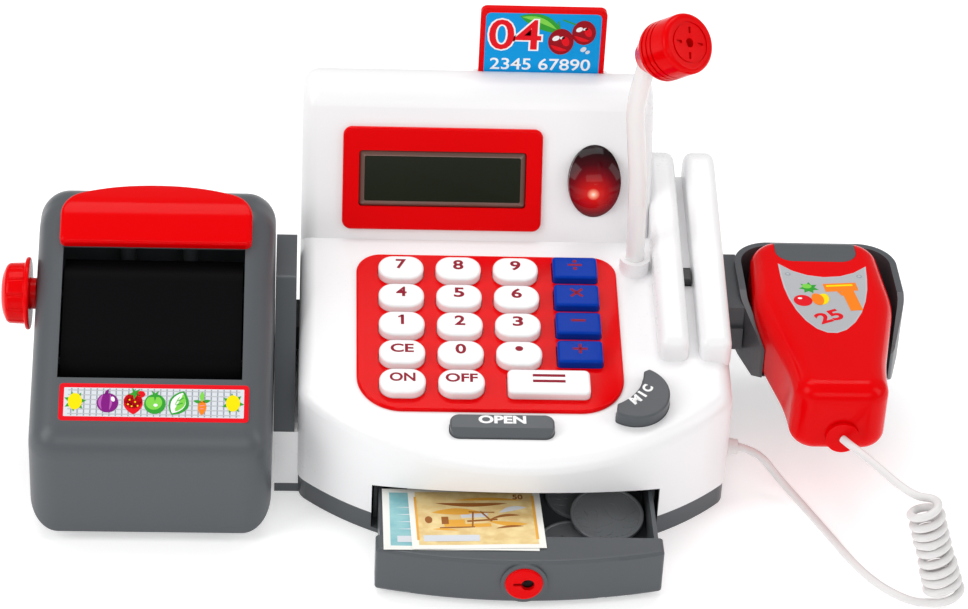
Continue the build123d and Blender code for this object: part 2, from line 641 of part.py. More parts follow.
def make_swipe_sensor():
    """Black card sensor at the bottom of the slot."""
    middle = RAIL_SLOT_X + SLOT_WIDTH / 2
    low = -WALL - 0.1
    body = Pos(0, 0, (SENSOR_RISE + low) / 2) * Box(SLOT_WIDTH - 1.0, SENSOR_LENGTH, SENSOR_RISE - low)
    body = fillet(body.faces().sort_by(Axis.Z)[-1].edges().filter_by(Axis.X), 1.5)
    body += Pos(0, 0, low - 0.7) * Box(SLOT_WIDTH + 2.4, SENSOR_LENGTH + 2.4, 1.4)
    return on_deck(middle, SENSOR_V, 0, body)


# ================================================================ microphone and sign
def make_mic_stalk():
    """White bent rod of the microphone."""
    foot = Vector(MIC_X, MIC_Y, deck_z(MIC_Y) - SOCKET_DEPTH + CLEARANCE)
    collar_top = Vector(MIC_X, MIC_Y, deck_z(MIC_Y) + COLLAR_RISE)
    points = [foot, collar_top] + [collar_top + Vector(*p) for p in STALK_ROUTE_TOP]
    path = FilletPolyline(*points, radius=[60.0, 100.0, 60.0])
    section = Plane(origin=foot, z_dir=(0, 0, 1)) * Circle(STALK_R)
    return sweep(section, path=path)


def mic_head_plane():
    """Plane at the back of the microphone head, facing where it points."""
    top = Vector(MIC_X, MIC_Y, deck_z(MIC_Y) + COLLAR_RISE) + Vector(*STALK_ROUTE_TOP[-1])
    return Plane(origin=top, x_dir=(1, 0.8, 0), z_dir=MIC_AIM)


def make_mic_head():
    """Red microphone head: ridged cup with a pierced face."""
    r = MIC_HEAD_R
    length = MIC_HEAD_LENGTH
    line = FilletPolyline((0, -2.0), (6.5, -2.0), (10.0, 5.0), (r, 10.5), (r, length), (0, length),
                          radius=[3.0, 3.0, 4.0, 2.6], close=False)
    half = make_face([line, Line((0, length), (0, -2.0))])
    head = revolve(Plane.XZ * half, Axis.Z)
    for height in HEAD_GROOVES:
        head -= Pos(0, 0, height) * (Cylinder(r + 2, 0.9) - Cylinder(r - 0.8, 0.9))
    head -= Pos(0, 0, length) * Cylinder(2.0, 8)
    head -= Pos(0, 0, length) * (Cylinder(9.2, 1.0) - Cylinder(8.4, 1.0))
    for i in range(4):
        head -= Rot(0, 0, HEAD_SLOT_TURN + 90 * i) * Pos(5.6, 0, length) * Box(2.8, 1.2, 2.4)
    plane = mic_head_plane()
    head = plane.location * head
    return head - make_mic_stalk()


def make_sign_board():
    """Upright sign plate with a tongue that drops in the tower's slot."""
    low = TOWER_TOP_Z - SIGN_TONGUE
    height = SIGN_TONGUE + SIGN_RISE
    plate = RectangleRounded(SIGN_WIDTH, height, 3.0)
    board = extrude(Plane.XZ * plate, amount=SIGN_THICKNESS / 2, both=True)
    return Pos(SIGN_X, SIGN_Y, low + height / 2) * board


def make_speaker():
    """Loudspeaker behind the tower's back wall."""
    back = BODY_BACK_Y - WALL
    cone = shaft_y(SPEAKER_X, back - SPEAKER_DEPTH, back, SPEAKER_Z, SPEAKER_R * 0.55)
    return cone + shaft_y(SPEAKER_X, back - 3, back, SPEAKER_Z, SPEAKER_R)


# ================================================================ drawer
def bow_cutter(front_y, x_half, z0, z1):
    """Solid bounded in front by the drawer's bowed face."""
    radius = (x_half ** 2 + DRAWER_BOW ** 2) / (2 * DRAWER_BOW)
    disc = post(0, front_y + radius, z0, z1, radius)
    return disc & block(-x_half, x_half, front_y - 1, LEDGE_Y, z0, z1)


def drawer_face_y():
    """Middle of the drawer's bowed face at rest."""
    return -BOW_DEPTH_Y - DRAWER_OUT - DRAWER_PROUD


def make_drawer_front():
    """Grey hollow drawer front with its ledge and lock ring."""
    face_y = drawer_face_y()
    front = bow_cutter(face_y, DRAWER_HALF, DRAWER_BOTTOM_Z, DRAWER_TOP_Z)
    outer_edges = front.edges().filter_by(lambda e: e.center().Y < LEDGE_Y - 3)
    front = fillet(outer_edges, 1.6)
    hollow = bow_cutter(face_y + WALL, DRAWER_HALF - WALL, DRAWER_BOTTOM_Z + WALL, DRAWER_TOP_Z - WALL)
    front -= hollow
    front += shaft_y(LOCK_X, face_y - 1.0, face_y + 3, LOCK_Z, LOCK_RING_R)
    front -= shaft_y(LOCK_X, face_y - 3, face_y + 0.8, LOCK_Z, LOCK_R + RUNNING_GAP)
    front -= shaft_y(LOCK_X, face_y - 3, face_y + 5, LOCK_Z, 3.0 + RUNNING_GAP)
    return front


def make_drawer_tray():
    """Grey tray with a note bay and a coin bay."""
    tray = block(-TRAY_HALF, TRAY_HALF, LEDGE_Y, TRAY_BACK_Y, DRAWER_BOTTOM_Z, TRAY_TOP_Z)
    floor = DRAWER_BOTTOM_Z + TRAY_WALL
    tray -= block(-TRAY_HALF + TRAY_WALL, COIN_WALL_X, LEDGE_Y + TRAY_WALL, TRAY_BACK_Y - TRAY_WALL,
                  floor, TRAY_TOP_Z + 1)
    tray -= block(COIN_WALL_X + TRAY_WALL, TRAY_HALF - TRAY_WALL, LEDGE_Y + TRAY_WALL,
                  TRAY_BACK_Y - TRAY_WALL, floor, TRAY_TOP_Z + 1)
    return tray


def make_drawer_lock():
    """Red lock disc with a keyhole, its stem and its cam."""
    face_y = drawer_face_y()
    lock = shaft_y(LOCK_X, face_y - LOCK_PROUD, face_y + 0.7, LOCK_Z, LOCK_R)
    lock = fillet(lock.edges().sort_by(Axis.Y)[0], 1.0)
    lock += shaft_y(LOCK_X, face_y + 0.5, face_y + 6.0, LOCK_Z, 3.0)
    lock += block(LOCK_X - 2.5, LOCK_X + 2.5, face_y + 3.4, face_y + 5.4, LOCK_Z - 7, LOCK_Z + 3)
    lock -= shaft_y(LOCK_X + 1.6, face_y - 3, face_y - 0.2, LOCK_Z, 2.8)
    lock -= block(LOCK_X - 4.6, LOCK_X + 1.2, face_y - 3, face_y - 0.6, LOCK_Z - 0.7, LOCK_Z + 0.7)
    return lock


def make_banknotes():
    """Two toy notes lying in the tray with their ends on the ledge."""
    width, depth, thick = NOTE_SIZE
    z = DRAWER_TOP_Z + 0.02
    lower = Pos(-16, LEDGE_Y + 14, z + thick / 2) * Rot(0, 0, -4) * Box(width, depth + 8, thick)
    upper = Pos(-8, LEDGE_Y + 14, z + 1.5 * thick + 0.02) * Rot(0, 0, 2) * Box(width * 0.86, depth + 4, thick)
    return Compound([lower, upper])


def make_coins():
    """Three toy coins in the coin bay: two flat, one leaning over them."""
    floor = DRAWER_BOTTOM_Z + TRAY_WALL + 0.05 + COIN_THICKNESS / 2
    coins = []
    for x, y, lift, lean in COIN_PLACES:
        coins.append(Pos(x, y, floor + lift) * Rot(lean, 0, 0) * Cylinder(COIN_R, COIN_THICKNESS))
    return Compound(coins)


def make_drawer_spring():
    """Coil spring that pushes the drawer out."""
    first = TRAY_BACK_Y + 0.1
    last = CELL_FIRST_Y - CELL_PITCH / 2 - 0.6 - 1.6 - 0.1
    length = last - first - 2 * SPRING_WIRE
    helix = Helix(pitch=length / SPRING_TURNS, height=length, radius=SPRING_R)
    start = helix @ 0
    section = Plane(origin=start, z_dir=helix % 0) * Circle(SPRING_WIRE)
    coil = sweep(section, path=helix, is_frenet=True)
    return Pos(0, first + SPRING_WIRE, 12.0) * Rot(-90, 0, 0) * coil


# ================================================================ power and screws
def make_battery_door():
    """Flush door in the base."""
    first = CELL_FIRST_Y - CELL_PITCH / 2 - 0.6
    last = CELL_FIRST_Y + (CELL_COUNT - 0.5) * CELL_PITCH + 0.6
    return block(-DOOR_HALF_X, DOOR_HALF_X, first - 3, last + 3, 0, 1.1)


def make_batteries():
    """Three round cells side by side."""
    cells = []
    for i in range(CELL_COUNT):
        y = CELL_FIRST_Y + i * CELL_PITCH
        cell = shaft_x(-CELL_LENGTH / 2, CELL_LENGTH / 2, y, CELL_Z, CELL_R)
        cells.append(cell + shaft_x(CELL_LENGTH / 2 - 0.1, CELL_LENGTH / 2 + 1.0, y, CELL_Z, 2.7))
    return Compound(cells)


def make_screw(x, y, z, length):
    """Self-tapping screw put in from below."""
    head = post(x, y, z, z + 1.8, 2.8)
    head -= block(x - 2, x + 2, y - 0.4, y + 0.4, z - 1, z + 0.9)
    head -= block(x - 0.4, x + 0.4, y - 2, y + 2, z - 1, z + 0.9)
    return head + post(x, y, z + 1.7, z + length, SCREW_R - 0.2)


def station_screws():
    """Plan positions of the screws in the station."""
    middle = (STATION_LEFT + STATION_RIGHT) / 2
    rows = (STATION_FRONT_Y + 15, STATION_BACK_Y - 14)
    return [(middle + side * 14, y) for side in (-1, 1) for y in rows]


def make_screws():
    """All screws of both housings, as one group of solids."""
    group = [make_screw(x, y, 2.1, 28.0) for x, y in SCREW_PLACES]
    group += [make_screw(x, y, STATION_BOTTOM_Z - 0.4, 16.0) for x, y in station_screws()]
    return Compound(group)


# ================================================================ conveyor station
def slope_point(s, depth):
    """Point (y, z) at a distance along the slope and a depth below it."""
    a = math.radians(STATION_SLOPE)
    return (STATION_FRONT_Y + s * math.cos(a) + depth * math.sin(a),
            STATION_EDGE_Z + s * math.sin(a) - depth * math.cos(a))


ROLLER_DEPTH = BELT_SUNK + BELT_THICKNESS + ROLLER_R
IDLER_YZ = slope_point(BELT_START + ROLLER_R + BELT_THICKNESS, ROLLER_DEPTH)
DRIVE_YZ = slope_point(BELT_END - ROLLER_R - BELT_THICKNESS, ROLLER_DEPTH)


def station_form(inset, bottom):
    """Outer form of the station housing."""
    a = math.radians(STATION_SLOPE)
    lower = inset / math.cos(a)
    front = STATION_FRONT_Y + inset
    back = STATION_BACK_Y - inset
    top = STATION_TOP_Z - inset

    def slope_z(y):
        return STATION_EDGE_Z + (y - STATION_FRONT_Y) * math.tan(a) - lower

    crest = STATION_FRONT_Y + (top + lower - STATION_EDGE_Z) / math.tan(a)
    profile = [(front, bottom), (front, slope_z(front)), (crest, top), (back, top), (back, bottom)]
    radii = [0, STATION_FRONT_R - inset, STATION_TOP_R - inset, STATION_TOP_R - inset, 0]
    form = prism_x(profile, radii, STATION_LEFT + inset, STATION_RIGHT - inset)
    ends = form.faces().sort_by(Axis.X)
    edges = [e for face in (ends[0], ends[-1]) for e in face.edges() if e.center().Z > bottom + 1]
    form = fillet(edges, STATION_SIDE_R - inset)
    # round the two long bottom edges
    floor = STATION_BOTTOM_Z + inset
    section = RectangleRounded(STATION_RIGHT - STATION_LEFT - 2 * inset, 2 * STATION_TOP_Z,
                               STATION_FOOT_R - inset)
    tunnel = extrude(Plane.XZ * section, amount=2 * BODY_HALF_WIDTH, both=True)
    return form & Pos((STATION_LEFT + STATION_RIGHT) / 2, 0, floor + STATION_TOP_Z) * tunnel


def make_station_housing():
    """Grey sloping housing of the conveyor, open below."""
    housing = station_form(0, STATION_BOTTOM_Z) - station_form(WALL, STATION_BOTTOM_Z - 1)
    middle = (STATION_LEFT + STATION_RIGHT) / 2
    edge = WALL + FIT_GAP
    housing -= block(middle - PLATE_HALF - FIT_GAP, middle + PLATE_HALF + FIT_GAP, STATION_FRONT_Y + edge - FIT_GAP,
                     STATION_BACK_Y - edge + FIT_GAP, 0, STATION_BOTTOM_Z + WALL + 1)
    length = BELT_END - BELT_START
    window = Pos((BELT_LEFT + BELT_RIGHT) / 2, BELT_START + length / 2, 0) * Box(
        BELT_RIGHT - BELT_LEFT, length, 12)
    housing -= SLOPE.location * window
    # bearing bosses for the two rollers
    for y, z in (IDLER_YZ, DRIVE_YZ):
        housing += shaft_x(STATION_LEFT + WALL - 0.5, BELT_LEFT - 1.0, y, z, AXLE_R + 3)
        housing += shaft_x(BELT_RIGHT + 1.0, STATION_RIGHT - WALL + 0.5, y, z, AXLE_R + 3)
        housing -= shaft_x(STATION_LEFT + WALL + 1, STATION_RIGHT - WALL - 1, y, z, AXLE_R + RUNNING_GAP)
    y, z = DRIVE_YZ
    housing -= shaft_x(STATION_LEFT - 1, BELT_LEFT, y, z, AXLE_R + RUNNING_GAP)
    # screw posts
    for x, y in station_screws():
        column = post(x, y, STATION_BOTTOM_Z + 3.0, STATION_TOP_Z, 3.4)
        housing += column & station_form(WALL / 2, STATION_BOTTOM_Z)
        housing -= post(x, y, STATION_BOTTOM_Z, STATION_BOTTOM_Z + 20, SCREW_R - 0.2)
    return housing


def make_station_base():
    """Bottom plate of the station with four domed feet."""
    inner = WALL + FIT_GAP
    middle = (STATION_LEFT + STATION_RIGHT) / 2
    plate = block(middle - PLATE_HALF, middle + PLATE_HALF, STATION_FRONT_Y + inner, STATION_BACK_Y - inner,
                  STATION_BOTTOM_Z, STATION_BOTTOM_Z + WALL)
    for side in (-1, 1):
        for y in (STATION_FRONT_Y + 14, STATION_BACK_Y - 16):
            foot = post(middle + side * FOOT_X, y, 0, STATION_BOTTOM_Z + 0.5, FOOT_R)
            plate += fillet(foot.edges().sort_by(Axis.Z)[0], 3.0)
    for x, y in station_screws():
        plate -= post(x, y, 0, STATION_BOTTOM_Z + 10, SCREW_R + 0.25)
        plate -= post(x, y, 0, STATION_BOTTOM_Z + 1.4, 3.1)
    return plate


def on_skin(edge, form):
    """Whether both ends and the middle of an edge lie on the surface of a form."""
    spots = (edge @ 0, edge @ 0.5, edge @ 1)
    return all(form.faces().sort_by_distance(spot)[0].distance_to(spot) < 0.05 for spot in spots)


def make_station_hood():
    """Red cap over the top of the slope."""
    outer = station_form(-HOOD_RISE, STATION_BOTTOM_Z) - station_form(0, STATION_BOTTOM_Z - 1)
    width = HOOD_RIGHT - HOOD_LEFT
    middle = (HOOD_LEFT + HOOD_RIGHT) / 2
    end = HOOD_START + 44
    plan = Pos(middle, (HOOD_START + end) / 2) * Rectangle(width, end - HOOD_START)
    plan = fillet(plan.vertices().sort_by(Axis.Y)[:2], 3.0)
    plan &= Pos(middle, HOOD_START + 33 - 95) * Circle(95)
    plan = fillet(plan.vertices().sort_by(Axis.Y)[-2:], 14.0)
    hood = outer & SLOPE.location * extrude(Pos(0, 0, -22) * plan, amount=44)
    skin = station_form(-HOOD_RISE, STATION_BOTTOM_Z)
    rim = [e for e in hood.edges() if e.center().Z > STATION_EDGE_Z and on_skin(e, skin)]
    return fillet(rim, HOOD_EDGE_R)


def make_conveyor_belt():
    """Endless belt around both rollers."""
    y0, z0 = IDLER_YZ
    y1, z1 = DRIVE_YZ
    x0 = BELT_LEFT + BELT_SIDE_GAP
    x1 = BELT_RIGHT - BELT_SIDE_GAP

    def loop(radius):
        bar = shaft_x(x0, x1, y0, z0, radius) + shaft_x(x0, x1, y1, z1, radius)
        length = math.hypot(y1 - y0, z1 - z0)
        middle = Pos((x0 + x1) / 2, (y0 + y1) / 2, (z0 + z1) / 2)
        return bar + middle * Rot(STATION_SLOPE, 0, 0) * Box(x1 - x0, length, 2 * radius)

    return loop(ROLLER_R + BELT_THICKNESS) - loop(ROLLER_R + 0.05)


def make_roller(y, z, left_end):
    """Roller with its axle."""
    drum = shaft_x(BELT_LEFT + 1.4, BELT_RIGHT - 1.4, y, z, ROLLER_R)
    return drum + shaft_x(left_end, STATION_RIGHT - WALL - 1.2, y, z, AXLE_R)


def make_belt_knob():
    """Red knob with a flange and a domed end."""
    y, z = DRIVE_YZ
    left = STATION_LEFT - KNOB_REACH
    line = FilletPolyline((0, 0), (6.9, 0), (6.9, 2.6), (KNOB_FLANGE_R, 2.6), (KNOB_FLANGE_R, 4.6),
                          (KNOB_R + 0.3, 4.6), (KNOB_R, 12.5), (8.0, KNOB_REACH - 0.2), (0, KNOB_REACH - 0.2),
                          radius=[0, 0.6, 0.9, 0.9, 0.8, 2.6, 12.0], close=False)
    half = make_face([line, Line((0, KNOB_REACH - 0.2), (0, 0))])
    knob = revolve(Plane.XZ * half, Axis.Z)
    for i in range(12):
        groove = Rot(0, 0, 30 * i) * Pos(KNOB_R + 0.9, 0, 8.6) * Cylinder(1.3, 7.4)
        knob -= groove
    knob -= Pos(0, 0, -0.1) * Cylinder(AXLE_R, 8.1, align=ON_FLOOR)
    return Pos(STATION_LEFT - 0.2, y, z) * Rot(0, -90, 0) * knob


def make_link_bracket():
    """Grey side plate between the station and the register."""
    right = DOCK_LEFT + LINK_THICKNESS
    rise = LINK_TOP_Z - LINK_BOTTOM_Z
    points = [(LINK_FRONT_Y, LINK_BOTTOM_Z), (LINK_FRONT_Y + rise, LINK_TOP_Z),
              (LINK_BACK_Y, LINK_TOP_Z), (LINK_BACK_Y, LINK_BOTTOM_Z)]
    plate = prism_x(points, [0, 4.0, 4.0, 0], DOCK_LEFT, right)
    rib = block(right - 0.5, -BODY_HALF_WIDTH, 10, LINK_BACK_Y - 12, LINK_BOTTOM_Z + 8, LINK_BOTTOM_Z + 20)
    return plate + rib


# ================================================================ cradle and scanner
def taper_outline(centre, half, tip_half, front, wide_from, back, corner):
    """Plan that is wide at the back and narrows towards the front."""
    points = [(centre - tip_half, front), (centre - half, wide_from), (centre - half, back),
              (centre + half, back), (centre + half, wide_from), (centre + tip_half, front)]
    radii = [corner * 0.4, 34.0, corner, corner, 34.0, corner * 0.4]
    return make_face(FilletPolyline(*points, radius=radii, close=True))


def make_scanner_cradle():
    """Grey holster on the register's right side."""
    outer = taper_outline(CRADLE_X, CRADLE_HALF, CRADLE_TIP_HALF, CRADLE_FRONT_Y, 22.0, CRADLE_BACK_Y, 17.0)
    inner = taper_outline(CRADLE_X, CRADLE_HALF - CRADLE_WALL, CRADLE_TIP_HALF - CRADLE_WALL,
                          CRADLE_FRONT_Y - 8, 22.0, CRADLE_BACK_Y - CRADLE_WALL, 14.0)
    height = CRADLE_TOP_Z - CRADLE_BOTTOM_Z
    cup = extrude(Pos(0, 0, CRADLE_BOTTOM_Z) * outer, amount=height)
    cup -= extrude(Pos(0, 0, CRADLE_BOTTOM_Z + CRADLE_WALL) * inner, amount=height)
    cup -= extrude(Pos(0, 0, CRADLE_BOTTOM_Z - 1) * (inner & Pos(CRADLE_X, -24) * Rectangle(120, 44)),
                   amount=height)
    tips = [(CRADLE_FRONT_Y - 5, CRADLE_TOP_Z + 1), (CRADLE_FRONT_Y - 5, CRADLE_TOP_Z - 12),
            (CRADLE_FRONT_Y + 40, CRADLE_TOP_Z + 1)]
    cup -= prism_x(tips, 0, CRADLE_X - 60, CRADLE_X + 60)
    low = [(CRADLE_FRONT_Y - 5, CRADLE_BOTTOM_Z - 1), (CRADLE_FRONT_Y - 5, CRADLE_BOTTOM_Z + 10),
           (CRADLE_FRONT_Y + 14, CRADLE_BOTTOM_Z - 1)]
    cup -= prism_x(low, 0, CRADLE_X - 60, CRADLE_X + 60)
    cup -= extrude(Pos(0, 0, CRADLE_BOTTOM_Z + CRADLE_WALL) * scanner_outline(-CLEARANCE), amount=height)
    left = CRADLE_X - CRADLE_HALF
    arm = block(BODY_HALF_WIDTH, left + 1.5, 16, 60, CRADLE_TOP_Z - 14, CRADLE_TOP_Z - 3)
    arm += block(BODY_HALF_WIDTH, left + 1.5, 14, 54, CRADLE_BOTTOM_Z + 6, CRADLE_TOP_Z - 13)
    return cup + arm


def scanner_outline(inset):
    """Plan of the scanner: wide head, narrow handle."""
    points = [(-HANDLE_HALF + inset, SCANNER_FRONT_Y + inset), (-NECK_HALF + inset, -36.0),
              (-HEAD_HALF + inset, 12.0), (-HEAD_HALF + 3 + inset, SCANNER_BACK_Y - inset),
              (HEAD_HALF - 3 - inset, SCANNER_BACK_Y - inset), (HEAD_HALF - inset, 12.0),
              (NECK_HALF - inset, -36.0), (HANDLE_HALF - inset, SCANNER_FRONT_Y + inset)]
    radii = [11 - inset, 120.0, 60.0, 14 - inset, 14 - inset, 60.0, 120.0, 11 - inset]
    return Pos(SCANNER_X, 0) * make_face(FilletPolyline(*points, radius=radii, close=True))


def scanner_form(inset):
    """Whole scanner body before it is split into two shells."""
    height = SCANNER_TOP_Z - SCANNER_BOTTOM_Z - 2 * inset
    form = extrude(Pos(0, 0, SCANNER_BOTTOM_Z + inset) * scanner_outline(inset), amount=height)
    faces = form.faces().sort_by(Axis.Z)
    form = fillet(faces[-1].edges(), SCANNER_EDGE_R - inset)
    faces = form.faces().sort_by(Axis.Z)
    return fillet(faces[0].edges(), SCANNER_EDGE_R - 1.5 - inset)


def nose_block(gap):
    """Grey window piece set in the top of the head's far end."""
    depth = 21.0
    low = SCANNER_SPLIT_Z + 2
    plan = Pos(SCANNER_X, SCANNER_BACK_Y - depth / 2 + 4) * RectangleRounded(
        2 * NOSE_HALF + 2 * gap, depth + 8 + 2 * gap, 8.0)
    return extrude(Pos(0, 0, low - gap) * plan, amount=SCANNER_TOP_Z - low + 10)


def trigger_block(gap, z0, z1):
    """Rounded block of the trigger between two heights, with a gap all round."""
    plan = Pos(SCANNER_X, TRIGGER_Y) * RectangleRounded(TRIGGER_WIDTH + 2 * gap, TRIGGER_LENGTH + 2 * gap, 4.0)
    return extrude(Pos(0, 0, z0) * plan, amount=z1 - z0)


def make_scanner_upper_shell():
    """Red top half of the scanner."""
    skin = scanner_form(0) - scanner_form(SCANNER_WALL)
    shell = skin & block(SCANNER_X - 60, SCANNER_X + 60, -90, 90, SCANNER_SPLIT_Z, SCANNER_TOP_Z + 5)
    shell -= shaft_y(CORD_EXIT_X, SCANNER_FRONT_Y - 1, SCANNER_FRONT_Y + SCANNER_WALL + 1, CORD_EXIT_Z,
                     BOSS_R + FIT_GAP)
    return shell - nose_block(FIT_GAP)


def make_scanner_lower_shell():
    """Red lower half of the scanner with the cord boss."""
    skin = scanner_form(0) - scanner_form(SCANNER_WALL)
    shell = skin & block(SCANNER_X - 60, SCANNER_X + 60, -90, 90, SCANNER_BOTTOM_Z - 5, SCANNER_SPLIT_Z)
    shell += shaft_y(CORD_EXIT_X, SCANNER_FRONT_Y - BOSS_REACH, SCANNER_FRONT_Y + SCANNER_WALL, CORD_EXIT_Z, BOSS_R)
    return shell - trigger_block(CLEARANCE, SCANNER_BOTTOM_Z - 1, SCANNER_BOTTOM_Z + SCANNER_WALL + 1)


def make_scanner_nose():
    """Grey scanner window, following the head's form."""
    return scanner_form(0) & nose_block(0)


def make_scanner_trigger():
    """Grey trigger with an inner flange."""
    inside = SCANNER_BOTTOM_Z + SCANNER_WALL + 0.1
    body = trigger_block(0, SCANNER_BOTTOM_Z - TRIGGER_PROUD, inside)
    body = fillet(body.faces().sort_by(Axis.Z)[0].edges(), 0.9)
    return body + trigger_block(BUTTON_FLANGE, inside, inside + 1.6)


# ================================================================ cord
def cord_tube(route):
    """Cord along straight runs joined by tangent arcs."""
    points = [Vector(*p) for p in route]
    radii = []
    for before, here, after in zip(points, points[1:], points[2:]):
        turn = math.radians((here - before).get_angle(after - here))
        run = min((here - before).length, (after - here).length)
        radii.append(0.45 * run / math.tan(turn / 2))
    print("cord radii", [round(r, 1) for r in radii])
    path = FilletPolyline(*points, radius=radii)
    section = Plane(origin=points[0], z_dir=points[1] - points[0]) * Circle(CORD_R)
    tube = sweep(section, path=path)
    print("cord length", round(path.length, 1), "volume ratio",
          round(tube.volume / (math.pi * CORD_R ** 2 * path.length), 4))
    return tube


def make_cord_coil():
    """Outer shape of the curly cord."""
    foot = Vector(*COIL_FOOT)
    top = Vector(*COIL_TOP)
    plane = Plane(origin=foot, z_dir=top - foot)
    return plane.location * Cylinder(COIL_R, (top - foot).length, align=ON_FLOOR)


def make_cord_gland():
    """White strain relief in the register's right wall."""
    line = Polyline((0, 0), (2.6, 0), (2.6, WALL + 0.1), (4.2, WALL + 0.1), (3.2, WALL + GLAND_REACH),
                    (0, WALL + GLAND_REACH), close=True)
    gland = revolve(Plane.XZ * make_face(line), Axis.Z)
    return Pos(BODY_HALF_WIDTH - WALL, GLAND_Y, GLAND_Z) * Rot(0, 90, 0) * gland


# ================================================================ write the pieces
def upper_shell_with_posts():
    """White shell and the pegs that carry the main board."""
    shell = make_upper_shell()
    for peg in make_board_posts():
        shell += peg
    return shell


def build():
    """All nodes by name."""
    nodes = {
        "base_shell": make_base_shell(),
        "upper_shell": upper_shell_with_posts(),
        "display_bezel": make_display_bezel(),
        "lcd_module": make_lcd_module(),
        "indicator_lens": make_indicator_lens(),
        "keypad_bezel": make_keypad_bezel(),
        "key_mat": make_key_mat(),
        "circuit_board": make_circuit_board(),
        "speaker": make_speaker(),
        "battery_door": make_battery_door(),
        "batteries": make_batteries(),
        "screws": make_screws(),
        "open_button": make_open_button(),
        "mic_button": make_mic_button(),
        "swipe_sensor": make_swipe_sensor(),
        "mic_stalk": make_mic_stalk(),
        "mic_head": make_mic_head(),
        "sign_board": make_sign_board(),
        "drawer_tray": make_drawer_tray(),
        "drawer_front": make_drawer_front(),
        "drawer_lock": make_drawer_lock(),
        "drawer_spring": make_drawer_spring(),
        "banknotes": make_banknotes(),
        "coins": make_coins(),
        "station_housing": make_station_housing(),
        "station_base": make_station_base(),
        "station_hood": make_station_hood(),
        "conveyor_belt": make_conveyor_belt(),
        "drive_roller": make_roller(*DRIVE_YZ, STATION_LEFT - 8.0),
        "idler_roller": make_roller(*IDLER_YZ, STATION_LEFT + WALL + 1.2),
        "belt_knob": make_belt_knob(),
        "link_bracket": make_link_bracket(),
        "scanner_cradle": make_scanner_cradle(),
        "scanner_upper_shell": make_scanner_upper_shell(),
        "scanner_lower_shell": make_scanner_lower_shell(),
        "scanner_nose": make_scanner_nose(),
        "scanner_trigger": make_scanner_trigger(),
        "cord_gland": make_cord_gland(),
        "cord_lead_register": cord_tube(LEAD_REGISTER),
        "cord_lead_scanner": cord_tube(LEAD_SCANNER),
        "cord_coil": make_cord_coil(),
    }
    for name, kind, x, v in key_places():
        nodes[name] = make_key(kind, x, v)
    return nodes


def main():
    """Write one STEP file for each node."""
    os.makedirs("parts", exist_ok=True)
    for name, shape in build().items():
        moved = Pos(-ORIGIN.X, -ORIGIN.Y, 0) * shape
        export_step(moved, "parts/" + name + ".step")


main()
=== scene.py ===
import math
import bmesh
import bpy
from mathutils import Matrix, Vector


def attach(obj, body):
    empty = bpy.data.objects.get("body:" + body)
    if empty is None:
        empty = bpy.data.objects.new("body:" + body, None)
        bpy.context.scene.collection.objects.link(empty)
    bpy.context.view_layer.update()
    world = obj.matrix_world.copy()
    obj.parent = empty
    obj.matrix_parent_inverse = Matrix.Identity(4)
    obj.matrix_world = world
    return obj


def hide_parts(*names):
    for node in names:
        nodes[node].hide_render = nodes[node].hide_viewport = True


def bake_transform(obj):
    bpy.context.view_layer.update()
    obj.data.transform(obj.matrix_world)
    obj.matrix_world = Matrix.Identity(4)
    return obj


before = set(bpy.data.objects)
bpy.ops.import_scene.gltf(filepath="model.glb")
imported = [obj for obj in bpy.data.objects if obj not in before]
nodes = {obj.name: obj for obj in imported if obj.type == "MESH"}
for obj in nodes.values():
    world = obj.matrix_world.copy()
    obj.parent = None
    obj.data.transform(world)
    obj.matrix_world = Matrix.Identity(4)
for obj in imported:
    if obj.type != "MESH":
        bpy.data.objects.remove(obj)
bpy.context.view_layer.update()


# ======================================================================= studio
# The toy stands on a pale table. Soft lamps hang over it on both sides, and
# the eye looks down at the keys from the front.
MILLIMETRE = 0.001
REGISTER_MIDDLE = Vector((23.3, 13.75, 0.0))   # middle of the register in the toy's frame


def place(x, y, z):
    """A point given in millimetres from the middle of the register."""
    return (Vector((x, y, z)) + REGISTER_MIDDLE) * MILLIMETRE


EYE = place(-95.84, -1207.36, 889.71)
EYE_YAW, EYE_DOWN, EYE_ROLL = math.radians(3.9), math.radians(34.0), math.radians(3.1)
LENS_MM, SENSOR_MM = 122.73, 36.0

ahead = Vector((math.sin(EYE_YAW) * math.cos(EYE_DOWN), math.cos(EYE_YAW) * math.cos(EYE_DOWN),
                -math.sin(EYE_DOWN)))
level = Vector((math.cos(EYE_YAW), -math.sin(EYE_YAW), 0.0))
above = level.cross(ahead)
side = level * math.cos(EYE_ROLL) + above * math.sin(EYE_ROLL)
top = above * math.cos(EYE_ROLL) - level * math.sin(EYE_ROLL)
camera = bpy.data.objects.new("camera", bpy.data.cameras.new("camera"))
camera.data.lens = LENS_MM
camera.data.sensor_width = SENSOR_MM
camera.matrix_world = Matrix.Translation(EYE) @ Matrix((side, top, -ahead)).transposed().to_4x4()
bpy.context.scene.collection.objects.link(camera)
bpy.context.scene.camera = camera
bpy.context.scene.view_settings.view_transform = "Standard"


def lamp(name, where, size, power, aim=(0.0, 0.0, 0.06)):
    """Soft square lamp that points at the toy."""
    light = bpy.data.lights.new(name, "AREA")
    light.shape = "RECTANGLE"
    light.size, light.size_y = size
    light.energy = power
    holder = bpy.data.objects.new(name, light)
    holder.location = where
    holder.rotation_euler = (Vector(aim) - Vector(where)).to_track_quat("-Z", "Y").to_euler()
    bpy.context.scene.collection.objects.link(holder)


